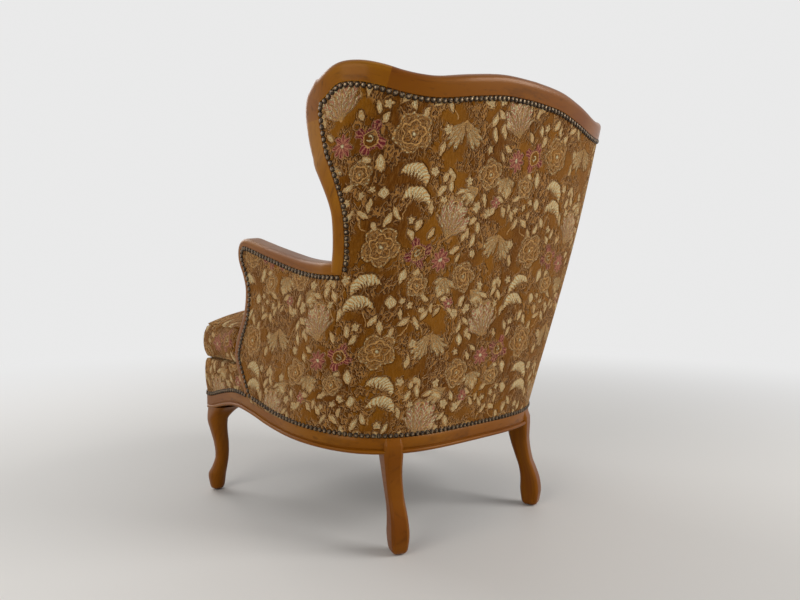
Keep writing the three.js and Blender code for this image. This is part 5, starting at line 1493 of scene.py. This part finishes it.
add_pads("inside_wing_pad", pad_look(52, 60, wing_places, wing_depth))
ARM_PAD_FRONT = along_for(STUMP_BELLY[0] - STUMP_SHOW_WIDTH, PAD_FOOT_UP)


def arm_places(u, v):
    along_arm = side_line(np.clip(2 * u - 1, 0, 1) * SIDE_CORNER)
    under_wing = pair_up(mix(split_top[0], wing_foot[0], 2 * u), ARM_LINE_REAR_UP - 2 * SEAT_GAP)
    top = np.where((u > 0.5)[..., None], along_arm, under_wing)
    low = pair_up(mix(split_top[0], ARM_PAD_FRONT, u), PAD_FOOT_UP)
    return mix(low, top, v[..., None])


def arm_depth(u, v):
    return mix(ARM_PAD_DEPTH, PAD_EDGE_DEPTH, v**5)


add_pads("inside_arm_pad", pad_look(80, 44, arm_places, arm_depth))

BORDER_START = seat_share_at(STUMP_FOOT[0])
BORDER_FULL = seat_share_at(CUSHION_EAR_BEHIND_AHEAD)
BORDER_SWELL = [(0, 0), (0.12, 0.02), (0.3, 0.55), (0.6, 1), (0.88, 0.8), (0.97, 0.35), (1, 0)]


def border():
    """The band over the front rail, fullest in the middle of its height, and its places on the cloth."""
    shares = np.concatenate([
        np.linspace(BORDER_START, CORNER_IN, 41),
        np.linspace(CORNER_IN, CORNER_OUT, 13)[1:],
        np.linspace(CORNER_OUT, 1, 41)[1:],
    ])
    frames = across_front(shares)
    bulge = BORDER_BULGE * smoothstep(np.abs(frames.share), BORDER_START, BORDER_FULL)
    rise = np.linspace(0, 1, 17)
    tops = (DECK_TOP_UP - frames.at[:, 2])[:, None]
    front = pair_up(bulge[:, None] * read_table(BORDER_SWELL, rise), tops * rise)
    back = pair_up(COVER_CLEAR - RAIL_RABBET, tops * rise[::-1])
    grid = swept(np.concatenate([front, back], axis=1), frames)
    cloth = grain_of(grid)
    cloth[:, 1] = grid.reshape(-1, 3)[:, 2] * MM
    return loft(grid), cloth


seat_border = add_velvet("seat_front_border", *border())

# The deck under the cushion, the burlap under the deck and the dust cover under the rails

EAR_SHARE = seat_share_at(STUMP_BELLY[0] + STUMP_SHOW_WIDTH + DECK_EAR_CLEAR)


def both_sides(half):
    return np.concatenate([half, half[-2:0:-1] * [-1, 1, 1]])


def set_in_places(shares, set_in):
    frames = seat_frames(shares)
    return frames.at - frames.out * set_in


deck_outline = both_sides(np.concatenate([
    set_in_places(np.linspace(0, EAR_SHARE, 50), WOOD_THICKNESS + DECK_CLEAR),
    set_in_places(np.linspace(EAR_SHARE, CORNER_IN, 14), RAIL_RABBET + SEAT_GAP),
    set_in_places(np.linspace(CORNER_IN, 1, 34)[1:], RAIL_RABBET + SEAT_GAP),
]))
deck_middle = spot(0, SEAT_FRONT_AHEAD / 2, 0.0)


def deck_rings(stations):
    """Rings round the deck's middle, as (share of the outline, up)."""
    return np.array([at_height(mix(deck_middle, deck_outline, s), up) for s, up in stations])


def planar_cloth(grid):
    return grid.reshape(-1, 3) * [MM, -MM, MM]


deck_low, deck_high = (corner.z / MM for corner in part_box("seat_deck"))
deck_grid = deck_rings(
    [(s, deck_low) for s in (0.05, 0.35, 0.7, 0.98)]
    + [(1, mix(deck_low, deck_high, s)) for s in (0.08, 0.4, 0.75)]
    + [(1 - s * 0.03, deck_high - DECK_ROLL * (1 - s) ** 2) for s in (0.12, 0.4, 0.75, 1)]
    + [(s, deck_high - DECK_HOLLOWS * math.sin(s * 9) ** 2) for s in np.linspace(0.9, 0.05, 12)]
)
deck = add_velvet("seat_deck", loft(deck_grid), planar_cloth(deck_grid))


def thin_cloth(name, top, thickness, material, slot):
    """A sheet that hangs down by its thickness from a grid of points."""
    return add(f"{name}_look", slab(top, top - [0, 0, thickness]), material, node=name, slot=slot, sharp=0)


burlap_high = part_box("spring_burlap")[1].z / MM
burlap_rings = deck_rings([(s, burlap_high) for s in np.linspace(1, 0.02, 30)])
burlap_rings = np.concatenate([burlap_rings, burlap_rings[:, :1]], axis=1)
burlap_cloth = thin_cloth("spring_burlap", burlap_rings, BURLAP_THICKNESS, burlap, "burlap")

dust_shares = np.concatenate([
    np.linspace(REAR_LEG_SHARE, CORNER_IN, 60), np.linspace(CORNER_OUT, 0.97, 24)
])
dust_edge = set_in_places(dust_shares, RAIL_THICKNESS + SEAT_GAP) + [0, 0, DUST_LIFT - RAIL_SHOW_HEIGHT]
dust_across = np.linspace(-1, 1, 61)
dust_top = dust_edge[:, None] * np.stack([dust_across, np.ones(61), np.ones(61)], axis=-1)
dust_down = np.sin(np.linspace(0, math.pi, len(dust_shares)))[:, None] * (1 - dust_across**2)
dust_top = dust_top - dust_down[..., None] * [0, 0, DUST_SAG]
dust_cover = thin_cloth("dust_cover", dust_top, DUST_THICKNESS, black_cloth, "black_cloth")


def centripetal(points, samples):
    """A closed curve through points, its knots spaced by the root of the distance, evenly sampled."""
    p = np.asarray(points, float)
    made = []
    for i in range(len(p)):
        a, b, c, d = p[i - 1], p[i], p[(i + 1) % len(p)], p[(i + 2) % len(p)]
        t1 = np.linalg.norm(b - a) ** 0.5
        t2 = t1 + np.linalg.norm(c - b) ** 0.5
        t3 = t2 + np.linalg.norm(d - c) ** 0.5
        t = np.linspace(t1, t2, 40, endpoint=False)[:, None]
        a1 = a * (t1 - t) / t1 + b * t / t1
        a2 = b * (t2 - t) / (t2 - t1) + c * (t - t1) / (t2 - t1)
        a3 = c * (t3 - t) / (t3 - t2) + d * (t - t2) / (t3 - t2)
        b1 = a1 * (t2 - t) / t2 + a2 * t / t2
        b2 = a2 * (t3 - t) / (t3 - t1) + a3 * (t - t1) / (t3 - t1)
        made.append(b1 * (t2 - t) / (t2 - t1) + b2 * (t - t1) / (t2 - t1))
    closed = np.concatenate([*made, made[0][:1]])
    run = run_along(closed)
    wanted = np.arange(samples) / samples * run[-1]
    return np.stack([np.interp(wanted, run, closed[:, i]) for i in range(closed.shape[1])], axis=-1)


def cushion_plan():
    """The T-shaped outline, from the middle of its back round both ears."""
    rest_up = DECK_TOP_UP + CUSHION_BORDER_HEIGHT / 2
    neck = along_for(CUSHION_EAR_BEHIND_AHEAD - CUSHION_NOTCH_RADIUS, rest_up)
    share = np.linspace(0, 1, 10)
    side = np.minimum(1, share * neck / BACK_PAD_END_ALONG)
    depth = mix(BACK_PAD_DEPTH + BACK_PAD_LUMBAR, CORNER_PAD_DEPTH, side**2) + CUSHION_SIDE_CLEAR
    behind_neck = on_barrel_at(pair_up(share * neck, rest_up), depth)
    behind_neck = [(x, -y) for x, y, _ in behind_neck]
    across, behind = SEAT_FRONT_ACROSS + BORDER_BULGE, CUSHION_EAR_BEHIND_AHEAD
    front = SEAT_FRONT_AHEAD + CUSHION_FRONT_OVERHANG
    turn = CUSHION_CORNER_RADIUS
    soft = turn * (1 - math.sqrt(0.5))
    ear = [
        (behind_neck[-1][0] + CUSHION_NOTCH_RADIUS, behind), (across - turn * 0.5, behind),
        (across - soft * 0.5, behind + soft * 0.5), (across, behind + turn * 0.5),
        (across - CUSHION_DRAW_IN, mix(behind, front, 0.5)), (across, front - turn),
        (across - soft, front - soft), (across - turn, front),
    ]
    bow = [
        (across * out, front + FRONT_BOW * bowed - CUSHION_DRAW_IN * (out > 0))
        for out, bowed in ((0.62, 0.32), (0.3, 0.84), (0, 1))
    ]
    half = np.array([*behind_neck, *ear, *bow])
    return np.concatenate([half, half[-2:0:-1] * [-1, 1]])


BORDER_DRAW = [(0, 1), (0.22, 0.25), (0.5, 0), (0.78, 0.25), (1, 1)]
UNDER_SHARES = (0.92, 0.75, 0.58, 0.42, 0.28, 0.16, 0.07, 0.02)
CROWN_SHARES = (0.004, 0.02, 0.045, 0.075, 0.11, 0.15, 0.2, 0.26, 0.33, 0.41, 0.5, 0.6, 0.7, 0.8, 0.9, 0.97)


def cushion_look():
    """The cushion's solid, its corners' places on the cloth and its seams' points."""
    outline = centripetal(cushion_plan(), CUSHION_SIDES)
    outline = spot(outline[:, 0], outline[:, 1], 0.0)
    centre = spot(0, mix(CUSHION_EAR_BEHIND_AHEAD, SEAT_FRONT_AHEAD, 0.3), 0.0)
    low = DECK_TOP_UP + SEAT_GAP
    seam_low = low + CUSHION_FOOT_RISE
    seam_high = seam_low + CUSHION_BORDER_HEIGHT
    inward = centre - outline
    reach = np.linalg.norm(inward, axis=1, keepdims=True)

    def ring(shrink, set_in, up):
        return at_height(outline + inward * shrink + inward / reach * set_in, up)

    def seam(up):
        return ring(0, CUSHION_SEAM_SET_IN + SEAM_DEPTH, up)

    rings = [ring(s, CUSHION_SEAM_SET_IN * (1 - s), low) for s in UNDER_SHARES]
    rings.append(seam(seam_low))
    first = len(rings)
    for rise in np.linspace(0, 1, 19):
        set_in = CUSHION_SEAM_SET_IN * float(read_table(BORDER_DRAW, rise))
        rings.append(ring(0, set_in, mix(seam_low + SEAM_HALF, seam_high - SEAM_HALF, rise)))
    last = len(rings)
    rings.append(seam(seam_high))
    for shrink in CROWN_SHARES:
        rise = SEAM_HALF * 0.6 + (CUSHION_CROWN - SEAM_HALF * 0.6) * (1 - (1 - shrink) ** 3)
        rings.append(ring(shrink, CUSHION_SEAM_SET_IN * (1 - shrink), seam_high + rise))
    grid = np.array(rings)
    points, faces = loft(grid)
    flat = planar_cloth(grid)
    run = np.linalg.norm(np.diff(outline, axis=0, append=outline[:1]), axis=1).cumsum() * MM
    cloth = []
    for face in faces:
        row, sides = min(face) // CUSHION_SIDES, [i % CUSHION_SIDES for i in face]
        if len(face) > 4 or not first - 1 <= row < last:
            cloth += [flat[i] for i in face]
            continue
        turned = 0 in sides and CUSHION_SIDES - 1 in sides
        for i, side in zip(face, sides):
            cloth.append((0 if side == 0 and not turned else run[side - 1], points[i][2] * MM, 0))
    seams = [row * CUSHION_SIDES + side for row in (first - 1, last) for side in range(CUSHION_SIDES)]
    return (points, faces), cloth, seams


cushion_part, cushion_cloth, seam_points = cushion_look()
cushion = add_velvet("seat_cushion", cushion_part, cushion_cloth, body="cushion")
swell(cushion, CUSHION_SWELL, seam_points)

# Nails


def dome():
    """A nail head as (points, faces) with its foot at the origin and its way out along z."""
    rings, sides = 5, 12
    turn = np.arange(sides) / sides * 2 * math.pi
    lifts = [i / rings * math.pi / 2 for i in range(rings)]
    stations = [(NAIL_RADIUS, NAIL_FOOT)]
    stations += [(NAIL_RADIUS * math.cos(lift), NAIL_HEIGHT * math.sin(lift)) for lift in lifts]
    rows = [
        np.stack([radius * np.cos(turn), radius * np.sin(turn), np.full(sides, up)], axis=-1)
        for radius, up in stations
    ]
    points = np.concatenate([*rows, [[0, 0, NAIL_HEIGHT]]])
    faces = [list(range(sides))[::-1]]
    for i in range(rings):
        for j in range(sides):
            k = (j + 1) % sides
            faces.append([i * sides + j, i * sides + k, (i + 1) * sides + k, (i + 1) * sides + j])
    faces += [[rings * sides + j, rings * sides + (j + 1) % sides, len(points) - 1] for j in range(sides)]
    return points, faces


dome_points, dome_faces = dome()


def nails(name, frames, set_in, pair=False):
    """Close-set nails along frames, so far past the line towards its edge, for the trim of this name."""
    even = frames.spaced(NAIL_PITCH)
    parts = []
    for at, out, edge in zip(even.at, even.out, even.edge):
        turned = dome_points @ np.array([edge, np.cross(edge, out), out])
        parts.append((at + edge * set_in + out * NAIL_LIFT + turned, dome_faces))
    if pair:
        made = add_pair(name, joined(*parts), bronze, slot="antique_bronze")
    else:
        made = [add(f"{name}_look", joined(*parts), bronze, node=name, slot="antique_bronze")]
    height = np.tile(dome_points[:, 2] / NAIL_HEIGHT, len(parts))
    for piece in made:
        set_places(piece.data, "dome", np.stack([height] * 3, axis=-1))


ARM_TRIM_START, TRIM_END, TRIM_GAP = 0.01, 0.985, 0.006
FRONT_TRIM_START = seat_share_at(STUMP_FOOT[0] + STUMP_SHOW_WIDTH)
above_rail, below_wood = NAIL_LINE_SET_IN, -NAIL_LINE_SET_IN
arm_trim = frames_along(side_line, np.linspace(ARM_TRIM_START, TRIM_END, 1200))
back_trim = cover_foot_frames(np.linspace(-REAR_LEG_SHARE, REAR_LEG_SHARE, 600))
side_trim = cover_foot_frames(np.linspace(REAR_LEG_SHARE, FRONT_TRIM_START - TRIM_GAP, 900))
nails("crest_nail_trim", rim_frames(np.linspace(-TRIM_END, TRIM_END, 2001)), below_wood)
nails("arm_nail_trim", arm_trim, below_wood, pair=True)
nails("back_nail_trim", back_trim, above_rail)
nails("side_nail_trim", side_trim, above_rail, pair=True)
nails("front_nail_trim", across_front(np.linspace(FRONT_TRIM_START, 1, 900)), above_rail)

# Carried-over nodes

by_slot = {
    "show_wood": show_wood, "cut_velvet": velvet, "antique_bronze": bronze, "frame_wood": frame_wood,
    "steel": steel, "burlap": burlap, "black_cloth": black_cloth, "glide_plastic": glide_plastic,
}
slot_of = {row["node"]: row["material_slot"] for row in frame["record"]["subparts"]}
for node, obj in frame["nodes"].items():
    obj.data.materials.clear()
    obj.data.materials.append(by_slot[slot_of[node]])

# The stage, in metres

BACKDROP = (0.82, 0.82, 0.82, 1)
FLOOR_COLOUR, FLOOR_SIZE = (0.74, 0.72, 0.69, 1), 60
# How far from the chair the camera starts to see, and sees only, the backdrop's colour on the floor
BACKDROP_FROM, BACKDROP_FULL = 0.8, 3.4
WORLD_LIGHT = 0.34
CAMERA_LENS, CAMERA_UP, CAMERA_PITCH = 29.25, 0.56, math.radians(2.203)
CAMERA_PLACE, CAMERA_HEADING = (1.0562, 0.9768), (-0.6554, -0.7553)


def seen_rays(tree):
    """1 for a ray from the camera, and for one that polish or glass sends on."""
    path = tree.nodes.new("ShaderNodeLightPath")
    camera_ray, glossy, through = (
        Value(tree, path.outputs[name]) for name in ("Is Camera Ray", "Is Glossy Ray", "Is Transmission Ray")
    )
    return camera_ray.most(glossy).most(through)


bpy.ops.mesh.primitive_plane_add(size=FLOOR_SIZE, location=(0, 0, 0))
floor = bpy.context.object
floor.name = "floor"
floor_made, floor_tree, floor_shader = material("floor")
settle(floor_shader, {"Base Color": FLOOR_COLOUR, "Roughness": 0.6})
glow = floor_tree.nodes.new("ShaderNodeEmission")
settle(glow, {"Color": BACKDROP})
split = floor_tree.nodes.new("ShaderNodeSeparateXYZ")
floor_tree.links.new(object_places(floor_tree), split.inputs[0])
distance, _ = polar(*(Value(floor_tree, socket) for socket in split.outputs[:2]))
mixed = floor_tree.nodes.new("ShaderNodeMixShader")
seen_far = seen_rays(floor_tree) * distance.step(BACKDROP_FROM, BACKDROP_FULL)
plug(floor_tree, seen_far, mixed.inputs["Fac"])
floor_tree.links.new(floor_shader.outputs[0], mixed.inputs[1])
floor_tree.links.new(glow.outputs[0], mixed.inputs[2])
floor_tree.links.new(mixed.outputs[0], floor_tree.nodes["Material Output"].inputs["Surface"])
floor.data.materials.append(floor_made)

scene = bpy.context.scene
scene.view_settings.view_transform = "Standard"
world = bpy.data.worlds.new("studio")
scene.world = world
world.use_nodes = True
sky = world.node_tree
background = sky.nodes["Background"]
settle(background, {"Color": BACKDROP})
plug(sky, seen_rays(sky).times_plus(1 - WORLD_LIGHT, WORLD_LIGHT), background.inputs["Strength"])


def area_light(name, place, size, power, color=(1, 1, 1)):
    """A soft light that faces the middle of the chair."""
    data = bpy.data.lights.new(name, "AREA")
    data.energy, data.size, data.color = power, size, color
    light = bpy.data.objects.new(name, data)
    scene.collection.objects.link(light)
    light.location = place
    light.rotation_euler = (Vector((0, 0, 0.5)) - Vector(place)).to_track_quat("-Z", "Y").to_euler()


area_light("key", (-1.9, 2.7, 2.1), 1.8, 74)
area_light("fill", (2.9, 0.6, 1.7), 2.0, 31, (1, 0.97, 0.93))
area_light("front", (0.6, -3.0, 2.2), 2.0, 42)

camera_data = bpy.data.cameras.new("camera")
camera = bpy.data.objects.new("camera", camera_data)
scene.collection.objects.link(camera)
camera_data.lens = CAMERA_LENS
camera.location = (CAMERA_PLACE[0], CAMERA_PLACE[1] + SHIFT_Y, CAMERA_UP)
level = Vector((*CAMERA_HEADING, 0)).normalized() * math.cos(CAMERA_PITCH)
heading = level - Vector((0, 0, math.sin(CAMERA_PITCH)))
camera.rotation_euler = heading.to_track_quat("-Z", "Y").to_euler()
scene.camera = camera
